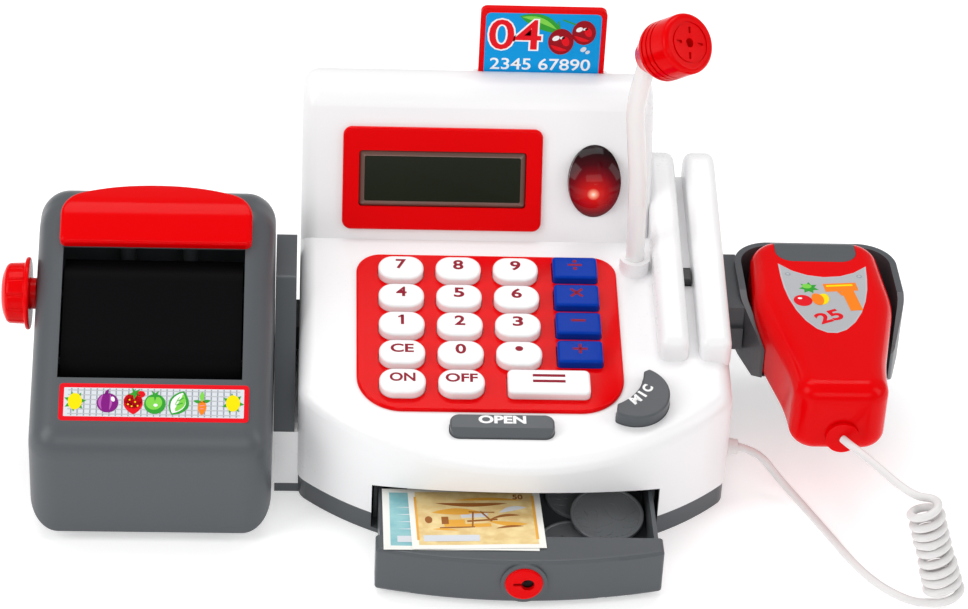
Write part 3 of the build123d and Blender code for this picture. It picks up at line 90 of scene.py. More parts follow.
lamp("lamp_over", (-0.10, 0.55, 1.55), (1.5, 0.7), 11.5)
lamp("lamp_left", (-1.25, -0.55, 0.95), (0.8, 1.0), 9.5)
lamp("lamp_right", (1.35, -0.35, 0.80), (0.5, 1.0), 4.5)
lamp("lamp_front", (0.15, -1.55, 1.05), (1.6, 0.6), 6.4)

world = bpy.data.worlds.new("studio")
world.use_nodes = True
world.node_tree.nodes["Background"].inputs["Color"].default_value = (1.0, 1.0, 1.0, 1.0)
world.node_tree.nodes["Background"].inputs["Strength"].default_value = 0.44
bpy.context.scene.world = world


def shader_of(material):
    """The main shader of a material."""
    return material.node_tree.nodes["Principled BSDF"]


def new_material(name, **plain):
    """Material with plain values set on its shader's own sockets."""
    material = bpy.data.materials.new(name)
    material.use_nodes = True
    shader = shader_of(material)
    for socket, value in plain.items():
        shader.inputs[socket.replace("_", " ")].default_value = value
    return material


def link(material_or_tree, output, socket):
    """Joins an output to an input in a material or a group."""
    tree = getattr(material_or_tree, "node_tree", material_or_tree)
    tree.links.new(output, socket)


def sum_node(tree, kind, first, second, clamp=False):
    """Math node whose inputs are outputs or plain numbers."""
    node = tree.nodes.new("ShaderNodeMath")
    node.operation = kind
    node.use_clamp = clamp
    for socket, value in zip(node.inputs, (first, second)):
        if isinstance(value, (int, float)):
            socket.default_value = value
        else:
            tree.links.new(value, socket)
    return node.outputs[0]


def new_group(name, inputs, outputs):
    """Empty shader group with named sockets; gives the tree and its two ends."""
    tree = bpy.data.node_groups.new(name, "ShaderNodeTree")
    for label, kind, value in inputs:
        socket = tree.interface.new_socket(label, in_out="INPUT", socket_type=kind)
        socket.default_value = value
    for label, kind in outputs:
        tree.interface.new_socket(label, in_out="OUTPUT", socket_type=kind)
    return tree, tree.nodes.new("NodeGroupInput"), tree.nodes.new("NodeGroupOutput")


def noise(tree, where, scale, detail=2.0):
    """Noise over the object's own coordinates."""
    node = tree.nodes.new("ShaderNodeTexNoise")
    node.inputs["Detail"].default_value = detail
    tree.links.new(where, node.inputs["Vector"])
    if isinstance(scale, (int, float)):
        node.inputs["Scale"].default_value = scale
    else:
        tree.links.new(scale, node.inputs["Scale"])
    return node.outputs["Fac"]


# Skin of any moulded or painted piece: its colour drifts a little over the
# piece, its gloss drifts too, and a fine ripple lies on it.
skin, skin_in, skin_out = new_group(
    "moulded_skin",
    [("Colour", "NodeSocketColor", (1, 1, 1, 1)), ("Tint Spread", "NodeSocketFloat", 0.05),
     ("Roughness", "NodeSocketFloat", 0.3), ("Roughness Spread", "NodeSocketFloat", 0.1),
     ("Ripple Scale", "NodeSocketFloat", 700.0)],
    [("Colour", "NodeSocketColor"), ("Roughness", "NodeSocketFloat"), ("Height", "NodeSocketFloat")])
DRIFT_SCALE = 16.0
where = skin.nodes.new("ShaderNodeTexCoord").outputs["Object"]
drift = noise(skin, where, DRIFT_SCALE, 3.0)
ripple = noise(skin, where, skin_in.outputs["Ripple Scale"])
drift_middle = sum_node(skin, "SUBTRACT", drift, 0.5)
ripple_middle = sum_node(skin, "SUBTRACT", ripple, 0.5)
tint = sum_node(skin, "ADD", sum_node(skin, "MULTIPLY", drift_middle, skin_in.outputs["Tint Spread"]), 1.0)
shade = skin.nodes.new("ShaderNodeVectorMath")
shade.operation = "SCALE"
link(skin, skin_in.outputs["Colour"], shade.inputs[0])
link(skin, tint, shade.inputs["Scale"])
link(skin, shade.outputs[0], skin_out.inputs["Colour"])
gloss_drift = sum_node(skin, "ADD", drift_middle, ripple_middle)
gloss_drift = sum_node(skin, "MULTIPLY", gloss_drift, skin_in.outputs["Roughness Spread"])
gloss = sum_node(skin, "ADD", gloss_drift, skin_in.outputs["Roughness"], True)
link(skin, gloss, skin_out.inputs["Roughness"])
link(skin, ripple, skin_out.inputs["Height"])

# Hairline scratches of handled plastic, in patches.
scuff, scuff_in, scuff_out = new_group(
    "fine_scratches",
    [("Size", "NodeSocketFloat", 1.0), ("Amount", "NodeSocketFloat", 0.2)],
    [("Mask", "NodeSocketFloat")])
where = scuff.nodes.new("ShaderNodeTexCoord").outputs["Object"]
SCRATCH_WIDTH = 0.0035
WORN_PATCHES, PATCH_SCALE = 0.53, 38.0
lines = None
for turn, stretch in ((0.4, (6.0, 210.0, 60.0)), (1.3, (5.0, 260.0, 80.0)), (2.3, (7.0, 230.0, 70.0))):
    mapping = scuff.nodes.new("ShaderNodeMapping")
    mapping.inputs["Rotation"].default_value = (0.3 * turn, 0.2, turn)
    mapping.inputs["Scale"].default_value = stretch
    link(scuff, where, mapping.inputs["Vector"])
    wave = noise(scuff, mapping.outputs["Vector"], scuff_in.outputs["Size"], 1.0)
    gap = sum_node(scuff, "ABSOLUTE", sum_node(scuff, "SUBTRACT", wave, 0.5), 0.0)
    line = sum_node(scuff, "LESS_THAN", gap, SCRATCH_WIDTH)
    lines = line if lines is None else sum_node(scuff, "MAXIMUM", lines, line)
patch = sum_node(scuff, "GREATER_THAN", noise(scuff, where, PATCH_SCALE, 2.0), WORN_PATCHES)
mask = sum_node(scuff, "MULTIPLY", sum_node(scuff, "MULTIPLY", lines, patch), scuff_in.outputs["Amount"])
link(scuff, mask, scuff_out.inputs["Mask"])


def add_group(material, tree, **values):
    """Places a group in a material with its own values."""
    node = material.node_tree.nodes.new("ShaderNodeGroup")
    node.node_tree = tree
    for socket, value in values.items():
        node.inputs[socket.replace("_", " ")].default_value = value
    return node


def moulded(name, colour, roughness, spread=0.04, tint=0.03, ripple=700.0, ripple_depth=0.000006,
            scratches=0.0, **plain):
    """Moulded material: skin group, an optional scratch group and a bump."""
    material = new_material(name, **plain)
    shader = shader_of(material)
    coat = add_group(material, skin, Colour=(*colour, 1.0), Tint_Spread=tint, Roughness=roughness,
                     Roughness_Spread=spread, Ripple_Scale=ripple)
    link(material, coat.outputs["Colour"], shader.inputs["Base Color"])
    rough = coat.outputs["Roughness"]
    if scratches:
        worn = add_group(material, scuff, Size=1.0, Amount=scratches)
        rough = sum_node(material.node_tree, "ADD", rough, worn.outputs["Mask"], True)
    link(material, rough, shader.inputs["Roughness"])
    bump = material.node_tree.nodes.new("ShaderNodeBump")
    bump.inputs["Strength"].default_value = 0.35
    bump.inputs["Distance"].default_value = ripple_depth
    link(material, coat.outputs["Height"], bump.inputs["Height"])
    link(material, bump.outputs["Normal"], shader.inputs["Normal"])
    return material


TABLE_HALF = 6.0
table_corners = [(x * TABLE_HALF, y * TABLE_HALF, 0.0) for x, y in ((-1, -1), (1, -1), (1, 1), (-1, 1))]
table_top = bpy.data.meshes.new("table_top")
table_top.from_pydata(table_corners, [], [(0, 1, 2, 3)])
table = bpy.data.objects.new("table_top", table_top)
table_top.materials.append(moulded("pale_table", (0.80, 0.80, 0.805), 0.8, tint=0.01, spread=0.03,
                                  Emission_Color=(1, 1, 1, 1), Emission_Strength=0.42))
bpy.context.scene.collection.objects.link(table)


# ======================================================================= cord
# White round cord from the gland in the register's side, along the table, up
# through nine and a half springy turns and into the handle of the scanner.
CORD_DIAMETER = 0.0036
COIL_FOOT, COIL_TOP = place(183.2, -114.2, 4.4), place(170.2, -107.0, 46.2)
COIL_RADIUS_LOW, COIL_RADIUS_TOP = 0.0072, 0.0062
COIL_TURNS = 9.54
COIL_START = math.radians(215.0)
POINTS_PER_TURN = 14
low_lead = [(100, -36, 24), (109.5, -36.2, 21.5), (118.5, -38.0, 9.5), (128.5, -47.0, 2.2),
            (137.5, -67.5, 1.9), (146, -88, 1.9), (153.0, -101, 1.9), (161.0, -110.5, 1.9),
            (170, -116.8, 2.0)]
high_lead = [(168.0, -101.8, 47.4), (161.5, -95.0, 47.8), (154.5, -83.0, 48.0), (148.0, -72.5, 48.2),
             (143.0, -66.0, 48.4), (141, -62.7, 48.5)]

coil_up = (COIL_TOP - COIL_FOOT).normalized()
coil_x = Vector((1, 0, 0)) - coil_up * coil_up.x
coil_x.normalize()
coil_y = coil_up.cross(coil_x)
route = [place(*p) for p in low_lead]
steps = int(COIL_TURNS * POINTS_PER_TURN)
for i in range(steps + 1):
    turn = i / steps
    angle = COIL_START + turn * COIL_TURNS * 2 * math.pi
    radius = COIL_RADIUS_LOW + (COIL_RADIUS_TOP - COIL_RADIUS_LOW) * turn
    radius *= 1 + 0.035 * math.sin(9.0 * turn) + 0.02 * math.sin(23.0 * turn)
    climb = turn + 0.010 * math.sin(14.0 * turn)
    route.append(COIL_FOOT.lerp(COIL_TOP, climb)
                 + (coil_x * math.cos(angle) + coil_y * math.sin(angle)) * radius)
route += [place(*p) for p in high_lead]


def spline_through(name, points, radius=0.0):
    """Smooth curve that follows a route, as a thin line or as a round tube."""
    curve = bpy.data.curves.new(name, "CURVE")
    curve.dimensions = "3D"
    line = curve.splines.new("NURBS")
    line.points.add(len(points) - 1)
    for spot, point in zip(line.points, points):
        spot.co = (*point, 1.0)
    line.order_u = 3
    line.use_endpoint_u = True
    line.resolution_u = 5
    curve.bevel_depth = radius
    curve.bevel_resolution = 5
    curve.use_fill_caps = True
    return bpy.data.meshes.new_from_object(bpy.data.objects.new(name + "_line", curve))


def add_piece(name, mesh, material, body, sharp=35.0):
    """Puts a mesh in the scene with its material and lets it move with a body."""
    for each in material if isinstance(material, (list, tuple)) else [material]:
        mesh.materials.append(each)
    mesh.name = name
    mesh.shade_smooth()
    mesh.set_sharp_from_angle(angle=math.radians(sharp))
    piece = bpy.data.objects.new(name, mesh)
    bpy.context.scene.collection.objects.link(piece)
    if body:
        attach(piece, body)
    return piece


cord_line = [v.co.copy() for v in spline_through("cord_line", route).vertices]
cord_jacket = moulded("cord_jacket", (0.74, 0.725, 0.72), 0.38, ripple=1500.0)
cord = add_piece("curly_cord", spline_through("curly_cord", route, CORD_DIAMETER / 2), cord_jacket, None, 80)
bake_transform(cord)
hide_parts("cord_lead_register", "cord_coil", "cord_lead_scanner")


def dress(material, *names):
    """Gives carried-over pieces their material."""
    for name in names:
        node = nodes[name]
        if not node.material_slots:
            node.data.materials.append(material)
        for slot in node.material_slots:
            slot.link = "OBJECT"
            slot.material = material


dress(cord_jacket, "cord_gland")

# ======================================================================= base and white shell
# The register is a white glossy shell screwed onto a grey tub; the tub holds
# the batteries behind a flush door. Both are thin injection mouldings.
GREY = (0.083, 0.091, 0.099)
WHITE = (0.86, 0.86, 0.868)
grey_plastic = moulded("grey_plastic", GREY, 0.34, spread=0.05, tint=0.04, ripple=520.0, ripple_depth=0.00001,
                       scratches=0.10, Specular_IOR_Level=0.32)
white_plastic = moulded("white_plastic", WHITE, 0.28, spread=0.02, tint=0.01, ripple_depth=0.000003,
                        Specular_IOR_Level=0.4)
dress(grey_plastic, "base_shell", "battery_door")
dress(white_plastic, "upper_shell")

# ======================================================================= hidden parts
# Inside: three cells, a green board with a rubber key mat, a loudspeaker, the
# drawer spring and the screws from below.
steel = moulded("zinc_steel", (0.55, 0.56, 0.58), 0.28, spread=0.2, ripple=1800.0, Metallic=1.0)
dress(steel, "screws", "drawer_spring")
dress(moulded("board_green", (0.02, 0.14, 0.05), 0.45, tint=0.25, ripple=2500.0), "circuit_board")
dress(moulded("mat_rubber", (0.55, 0.55, 0.56), 0.6, ripple=1500.0), "key_mat")
dress(moulded("cell_jacket", (0.05, 0.05, 0.06), 0.3, ripple=900.0, Metallic=0.6), "batteries")
dress(moulded("speaker_black", (0.02, 0.02, 0.022), 0.6, ripple=2500.0), "speaker")

# ======================================================================= display
# Red frame clipped in the tower, with a bevelled clear window over a dark
# display behind it.
RED = (0.72, 0.0003, 0.0015)
red_plastic = moulded("red_plastic", RED, 0.13, spread=0.02, tint=0.03, ripple=450.0, Specular_IOR_Level=0.07)
dress(red_plastic, "display_bezel")
FACE_ANGLE, DECK_ANGLE, SLOPE_ANGLE = math.radians(66.0), math.radians(12.0), math.radians(30.0)


def tilted(origin, angle, u=0.0, v=0.0, w=0.0, turn=0.0):
    """Frame in millimetres on a plane that rises to the back, at u, v, w on it."""
    tilt = Matrix.Rotation(angle, 4, "X")
    spin = Matrix.Rotation(math.radians(turn), 4, "Z")
    return (Matrix.Translation(place(*origin)) @ tilt @ Matrix.Scale(MILLIMETRE, 4)
            @ Matrix.Translation((u, v, w)) @ spin)


def on_face(u, v, w, turn=0.0):
    """Place on the tower's sloping front."""
    return tilted((0, 46, 77.3), FACE_ANGLE, u, v, w, turn)


def on_deck(u, v, w, turn=0.0):
    """Place on the key deck."""
    return tilted((0, -82, 50), DECK_ANGLE, u, v, w, turn)


def rounded(width, height, radius, steps=6):
    """Outline of a rounded rectangle about its middle."""
    points = []
    for cx, cy, start in ((1, 1, 0), (-1, 1, 90), (-1, -1, 180), (1, -1, 270)):
        for i in range(steps + 1):
            a = math.radians(start + 90 * i / steps)
            points.append((cx * (width / 2 - radius) + radius * math.cos(a),
                           cy * (height / 2 - radius) + radius * math.sin(a)))
    return points


def stacked(rings, close_ends=True):
    """Closed skin over rings of equal point counts, given as lists of (x, y, z)."""
    mesh = bmesh.new()
    rows = [[mesh.verts.new(p) for p in ring] for ring in rings]
    count = len(rows[0])
    for low, high in zip(rows, rows[1:]):
        for i in range(count):
            j = (i + 1) % count
            mesh.faces.new((low[i], low[j], high[j], high[i]))
    if close_ends:
        mesh.faces.new(reversed(rows[0]))
        mesh.faces.new(rows[-1])
    return mesh


def finish_mesh(mesh, place_matrix):
    """Turns a bmesh in local millimetres into a placed mesh with outward faces."""
    bmesh.ops.recalc_face_normals(mesh, faces=mesh.faces)
    data = bpy.data.meshes.new("part")
    mesh.to_mesh(data)
    mesh.free()
    data.transform(place_matrix)
    return data


WINDOW = (75.0, 25.0)
WINDOW_EDGE = 2.3
window_rings = [[(x, y, z) for x, y in rounded(WINDOW[0] - 2 * inset, WINDOW[1] - 2 * inset, radius)]
                for inset, z, radius in ((0.0, 0.15, 1.6), (0.0, 0.7, 1.6), (0.25, 0.95, 1.5),
                                         (WINDOW_EDGE - 0.3, 1.70, 0.9), (WINDOW_EDGE, 1.72, 0.8))]
window = finish_mesh(stacked(window_rings), on_face(-31.5, 27.9, 0.0))
window_edge = moulded("window_edge", (0.16, 0.085, 0.068), 0.22, spread=0.05, tint=0.3, Metallic=0.35)
window_dark = moulded("window_dark", (0.010, 0.013, 0.006), 0.25, spread=0.05, tint=0.5, ripple=60.0,
                      Specular_IOR_Level=0.1)
display_window = add_piece("display_window", window, [window_edge, window_dark], "root", 20)
display_window.data.polygons[-1].material_index = 1
dress(window_dark, "lcd_module")

# ======================================================================= lamp
# Smoked red dome whose glow is painted light: the lens itself emits, near white in a small middle low down,
# red around it and dark further out, standing in for light through the dome and a highlight on it.
PAINTED_GLOW_MIDDLE = on_face(36.4, 23.0, 8.0) @ Vector((0, 0, 0))
PAINTED_GLOW_REACH = 0.0195
lens_painted_glow = moulded("lens_painted_glow", (0.010, 0.002, 0.003), 0.09, spread=0.02, Specular_IOR_Level=0.14)
tree = lens_painted_glow.node_tree
where = tree.nodes.new("ShaderNodeTexCoord").outputs["Object"]
distance = tree.nodes.new("ShaderNodeVectorMath")
distance.operation = "DISTANCE"
link(tree, where, distance.inputs[0])
distance.inputs[1].default_value = PAINTED_GLOW_MIDDLE
painted_glow_reach = sum_node(tree, "DIVIDE", distance.outputs["Value"], PAINTED_GLOW_REACH)
painted_glow_ramp = tree.nodes.new("ShaderNodeValToRGB")
link(tree, painted_glow_reach, painted_glow_ramp.inputs["Fac"])
# Painted glow and highlight: near-white middle, red around it, dark towards the edge.
for at, colour in ((0.0, (1.0, 0.85, 0.75, 1)), (0.06, (1.0, 0.35, 0.22, 1)), (0.15, (0.62, 0.008, 0.006, 1)),
                   (0.52, (0.17, 0.0, 0.004, 1)), (0.70, (0.05, 0.0, 0.002, 1)), (1.0, (0.0, 0.0, 0.0, 1))):
    stops = painted_glow_ramp.color_ramp.elements
    stop = stops[0] if at == 0.0 else stops[-1] if at == 1.0 else stops.new(at)
    stop.position, stop.color = at, colour
link(tree, painted_glow_ramp.outputs["Color"], shader_of(lens_painted_glow).inputs["Emission Color"])
shader_of(lens_painted_glow).inputs["Emission Strength"].default_value = 1.0
dress(lens_painted_glow, "indicator_lens")

# ======================================================================= sign
# Flat red-edged board that stands in a slot on the tower, printed with
# cherries and big figures on a blue field.
INK = {"red": (0.74, 0.004, 0.012), "maroon": (0.27, 0.003, 0.02), "cherry": (0.30, 0.002, 0.008),
       "pink": (0.85, 0.30, 0.32), "orange": (0.90, 0.22, 0.01), "ochre": (0.80, 0.40, 0.06),
       "brown": (0.33, 0.12, 0.03), "yellow": (0.95, 0.72, 0.0), "green": (0.03, 0.33, 0.03),
       "light_green": (0.20, 0.62, 0.07), "blue": (0.0, 0.30, 0.70), "purple": (0.21, 0.01, 0.20),
       "light_purple": (0.45, 0.10, 0.42), "white": (0.88, 0.88, 0.88), "pale": (0.66, 0.69, 0.73),
       "silver": (0.48, 0.50, 0.52), "plate": (0.44, 0.45, 0.47), "grey": (0.30, 0.33, 0.38),
       "black": (0.006, 0.002, 0.002)}
ink = new_material("printed_ink", Specular_IOR_Level=0.12)
tree = ink.node_tree
dye = tree.nodes.new("ShaderNodeVertexColor")
dye.layer_name = "ink"
film = add_group(ink, skin, Tint_Spread=0.10, Roughness=0.35, Roughness_Spread=0.04, Ripple_Scale=1200.0)
link(ink, dye.outputs["Color"], film.inputs["Colour"])
link(ink, film.outputs["Colour"], shader_of(ink).inputs["Base Color"])
link(ink, film.outputs["Roughness"], shader_of(ink).inputs["Roughness"])


def oval(cx, cy, rx, ry=None, turn=0.0, count=28):
    """Outline of an ellipse."""
    ry = rx if ry is None else ry
    a = math.radians(turn)
    return [(cx + rx * math.cos(t) * math.cos(a) - ry * math.sin(t) * math.sin(a),
             cy + rx * math.cos(t) * math.sin(a) + ry * math.sin(t) * math.cos(a))
            for t in (2 * math.pi * i / count for i in range(count))]


def leaf(x0, y0, x1, y1, width, bend=0.0, count=9):
    """Outline of a pointed leaf between two ends."""
    along = Vector((x1 - x0, y1 - y0))
    across = Vector((-along.y, along.x)).normalized()
    sides = [[], []]
    for i in range(count + 1):
        t = i / count
        middle = Vector((x0, y0)) + along * t + across * bend * math.sin(math.pi * t)
        half = across * width / 2 * math.sin(math.pi * t) ** 0.8
        sides[0].append(tuple(middle + half))
        sides[1].append(tuple(middle - half))
    return sides[0] + sides[1][-2:0:-1]


def spiky(cx, cy, outer, inner, points, turn=0.0):
    """Outline of a star or a splash."""
    return [(cx + (outer if i % 2 else inner) * math.cos(math.radians(turn) + math.pi * i / points),
             cy + (outer if i % 2 else inner) * math.sin(math.radians(turn) + math.pi * i / points))
            for i in range(2 * points)]


def bar(x0, y0, x1, y1, width):
    """Outline of a straight stroke."""
    along = Vector((x1 - x0, y1 - y0))
    across = Vector((-along.y, along.x)).normalized() * width / 2
    return [(x0 + across.x, y0 + across.y), (x0 - across.x, y0 - across.y),
            (x1 - across.x, y1 - across.y), (x1 + across.x, y1 + across.y)]


def moved(outline, x, y, scale=1.0):
    """Outline carried to another place."""
    return [(x + px * scale, y + py * scale) for px, py in outline]


LAYER = 0.045     # each printed layer rises this much over the one below


def figure_outlines(text, height, x, y, width=None, weight=0.02, turn=0.0):
    """Mesh of figures in local millimetres, of a set height, about a middle."""
    curve = bpy.data.curves.new("figures", "FONT")
    curve.body = text
    curve.offset = weight
    curve.resolution_u = 4
    mesh = bpy.data.meshes.new_from_object(bpy.data.objects.new("figures", curve))
    xs = [v.co.x for v in mesh.vertices]
    ys = [v.co.y for v in mesh.vertices]
    tall = height / (max(ys) - min(ys))
    wide = width / (max(xs) - min(xs)) if width else tall
    mesh.transform(Matrix.Translation((x, y, 0)) @ Matrix.Rotation(math.radians(turn), 4, "Z")
                   @ Matrix.Diagonal((wide, tall, 1, 1))
                   @ Matrix.Translation((-(max(xs) + min(xs)) / 2, -(max(ys) + min(ys)) / 2, 0)))
    return mesh


def printing(name, layers, place_matrix, body, base=0.0, sink=0.02, surface=None):
    """Print or label built of thin closed shapes: (outline or figures, level, colour)."""
    mesh = bmesh.new()
    colour_of = mesh.loops.layers.float_color.new("ink")
    for shape, level, colour in layers:
        before = len(mesh.faces)
        if isinstance(shape, bpy.types.Mesh):
            mesh.from_mesh(shape)
            mesh.faces.ensure_lookup_table()
            flat = mesh.faces[before:]
        else:
            flat = [mesh.faces.new([mesh.verts.new((x, y, 0.0)) for x, y in shape])]
        corners = list({v for f in flat for v in f.verts})
        bmesh.ops.remove_doubles(mesh, verts=corners, dist=1e-5)
        mesh.faces.ensure_lookup_table()
        flat = mesh.faces[before:]
        low, high = base - sink, base + LAYER * (level + 1)
        for v in {v for f in flat for v in f.verts}:
            v.co.z = low
        raised = bmesh.ops.extrude_face_region(mesh, geom=flat, use_keep_orig=True)["geom"]
        for v in raised:
            if isinstance(v, bmesh.types.BMVert):
                v.co.z = high
        mesh.faces.ensure_lookup_table()
        for face in mesh.faces[before:]:
            for corner in face.loops:
                corner[colour_of] = (*INK[colour], 1.0)
    if surface:
        for v in mesh.verts:
            v.co = surface(v.co)
    return add_piece(name, finish_mesh(mesh, place_matrix), ink, body, 25)


def upright(x, y, z):
    """Place on the front of an upright board."""
    return Matrix.Translation(place(x, y, z)) @ Matrix.Rotation(math.pi / 2, 4, "X") @ Matrix.Scale(
        MILLIMETRE, 4)


dress(red_plastic, "sign_board")


def cherry(x, y, r, stem_x, stem_y):
    """A cherry: dark fruit with a lit side, gloss marks and a stem."""
    return [(bar(x, y + 0.5 * r, stem_x, stem_y, 0.7), 2, "green"), (oval(x, y, r, 1.15 * r), 3, "cherry"),
            (leaf(x - 0.8 * r, y - 0.3 * r, x + 0.5 * r, y - 0.75 * r, 0.35 * r, -0.12 * r), 4, "red"),
            (oval(x + 0.35 * r, y + 0.05 * r, 0.3 * r, 0.45 * r, 20), 4, "red"),
            (oval(x - 0.4 * r, y + 0.3 * r, 0.3 * r, 0.2 * r, 30), 4, "white"),
            (oval(x + 0.1 * r, y + 0.35 * r, 0.2 * r, 0.12 * r, 10), 4, "white")]


FIELD_LOW, FIELD_SHOULDER = -20.0, 12.4     # the field's foot, and where its top corners begin
field = [(-26.1, FIELD_LOW), (26.1, FIELD_LOW)]
field += [(x, y + FIELD_SHOULDER) for x, y in ((26.1, 0.0), (25.5, 1.4), (24.1, 2.0), (-24.1, 2.0),
                                               (-25.5, 1.4), (-26.1, 0.0))]
sign_layers = [(field, 0, "blue"), (leaf(-11.0, 13.0, 9.0, 4.6, 7.4, 1.2), 1, "green"),
               (leaf(-10.0, 12.6, 6.0, 6.4, 2.6, 1.6), 2, "light_green"),
               (figure_outlines("04", 16.8, -12.6, 3.4, 25.2, 0.045), 3, "white"),
               (figure_outlines("04", 15.4, -12.6, 3.4, 23.6, 0.012), 4, "red"),
               (figure_outlines("2345 67890", 6.0, -0.6, -11.7, 45.5, 0.01), 1, "white"),
               (oval(18.6, -3.6, 1.5, 1.1, 40), 1, "pale"), (oval(20.6, -5.0, 1.1, 0.8, 40), 1, "pale")]
sign_layers += cherry(18.4, 5.0, 5.4, 8.6, 11.4) + cherry(8.2, 0.2, 5.8, 6.6, 10.6)
SIGN_FACE = (12.6, 88.7, 157.0)
sign_print = printing("sign_print", sign_layers, upright(*SIGN_FACE), "sign")

# ======================================================================= keypad
# Red plate with nineteen keys in it: white ovals with dark red figures, four
# blue keys and one long white key.
dress(red_plastic, "keypad_bezel")
white_key = moulded("white_key", (0.87, 0.87, 0.875), 0.24, spread=0.02, tint=0.01, ripple_depth=0.000003)
blue_key = moulded("blue_key", (0.0, 0.036, 0.35), 0.18, tint=0.05, ripple=500.0, Specular_IOR_Level=0.06)
KEY_X = (-50.0, -24.4, 1.2)
KEY_ROWS = [73.8 + (2 - i) * 17.15 for i in range(5)]
KEY_TOP, LEGEND_UP = 5.6, 1.7
LEGEND_DIGIT, LEGEND_WORD = 5.9, 5.1


def strokes(*lines):
    """Printed strokes of a sign on a key."""
    return [(line, 0, "maroon") for line in lines]


keys = []
rows = ((("key_7", "7"), ("key_8", "8"), ("key_9", "9")), (("key_4", "4"), ("key_5", "5"), ("key_6", "6")),
        (("key_1", "1"), ("key_2", "2"), ("key_3", "3")), (("key_clear", "CE"), ("key_0", "0")),
        (("key_on", "ON"), ("key_off", "OFF")))
for v, row in zip(KEY_ROWS, rows):
    for u, (node, text) in zip(KEY_X, row):
        tall = LEGEND_WORD if len(text) > 1 else LEGEND_DIGIT
        wide = {"CE": 10.2, "ON": 11.2, "OFF": 14.0}.get(text, 4.7)
        if text == "1":
            figure = strokes(bar(0.3, LEGEND_UP - 2.9, 0.3, LEGEND_UP + 2.9, 1.4),
                             bar(-1.5, LEGEND_UP + 1.5, 0.6, LEGEND_UP + 2.6, 0.9))
        else:
            figure = [(figure_outlines(text, tall, 0, LEGEND_UP, wide, 0.028), 0, "maroon")]
        keys.append((node, u, v, figure))
keys.append(("key_point", KEY_X[2], KEY_ROWS[3], [(oval(0, LEGEND_UP + 0.6, 1.75, 1.5), 0, "maroon")]))
BLUE_X, ARM = 28.0, 2.6
signs = {"key_divide": strokes(bar(-3.2, 1.2, 3.2, 1.2, 1.1), oval(0, 3.4, 0.9), oval(0, -1.0, 0.9)),
         "key_multiply": strokes(bar(-ARM, -1.2, ARM, 3.4, 1.2)) + strokes(bar(-ARM, 3.4, ARM, -1.2, 1.2)),
         "key_minus": strokes(bar(-3.2, 1.2, 3.2, 1.2, 1.3)),
         "key_plus": strokes(bar(-3.2, 1.2, 3.2, 1.2, 1.2)) + strokes(bar(0, -1.6, 0, 4.0, 1.2))}
for (node, drawing), v in zip(signs.items(), KEY_ROWS):
    keys.append((node, BLUE_X, v + 1.6, drawing))
keys.append(("key_equals", 13.6, 40.0, strokes(bar(-7.1, 3.2, 7.1, 3.2, 1.5),
                                               bar(-7.1, -0.1, 7.1, -0.1, 1.5))))
for node, u, v, drawing in keys:
    printing(node.replace("key", "legend"), drawing, on_deck(u, v, KEY_TOP), node + "_cap")
    dress(blue_key if u == BLUE_X else white_key, node)

# ======================================================================= deck buttons
# Grey drawer button and grey crescent button, both with white lettering.
dress(grey_plastic, "open_button", "mic_button")
BUTTON_LETTER = 4.6
printing("legend_open", [(figure_outlines("OPEN", BUTTON_LETTER, 0, 0, 20.5, 0.04), 0, "white")],
         on_deck(-7.4, 18.4, 4.2), "open_key")
for letter, wide, u, v, turn in (("M", 4.4, 50.4, 29.4, 38.0), ("I", 1.2, 53.6, 32.6, 50.0),
                                 ("C", 3.8, 56.0, 36.0, 60.0)):
    printing("legend_mic_%d" % round(turn),
             [(figure_outlines(letter, BUTTON_LETTER, 0, 0, wide, 0.05), 0, "white")],
             on_deck(u, v, 6.2, turn), "mic_key")

# ======================================================================= card reader and microphone
# Black sensor in the card slot; red microphone on a milky bent rod.
satin_black = moulded("satin_black", (0.018, 0.018, 0.020), 0.42, ripple=1500.0, tint=0.2)
dress(satin_black, "swipe_sensor")
milky_rod = moulded("milky_rod", (0.82, 0.81, 0.80), 0.24, spread=0.03, tint=0.02,
                    Subsurface_Weight=0.12, Subsurface_Scale=0.003)
dress(milky_rod, "mic_stalk")
dress(red_plastic, "mic_head")

# ======================================================================= drawer
# Grey drawer with a bowed hollow front and two bays; a red lock disc turns in
# a grey ring in its middle.
dress(grey_plastic, "drawer_tray", "drawer_front")
dress(red_plastic, "drawer_lock")
LOCK_FACE = (3.1, -120.72, 13.6)
# The keyhole's dark inside is painted shade: a thin black disc and slot laid in the hole, which is dark only
# from shadow.
keyhole = [(oval(0.0, 0.0, 2.7), 0, "black"), (bar(-6.0, 0.0, -0.5, 0.0, 1.2), 9, "black")]
printing("keyhole_painted_shade", keyhole, upright(*LOCK_FACE), "lock", sink=0.0)

# ======================================================================= banknotes
# Two small printed paper notes, one on the other: an ochre one with a town on
# it over a wider teal one with waves.
NOTE_THICK = 0.18
NOTE_BORDER_X, NOTE_BORDER_Y = 3.0, 2.6


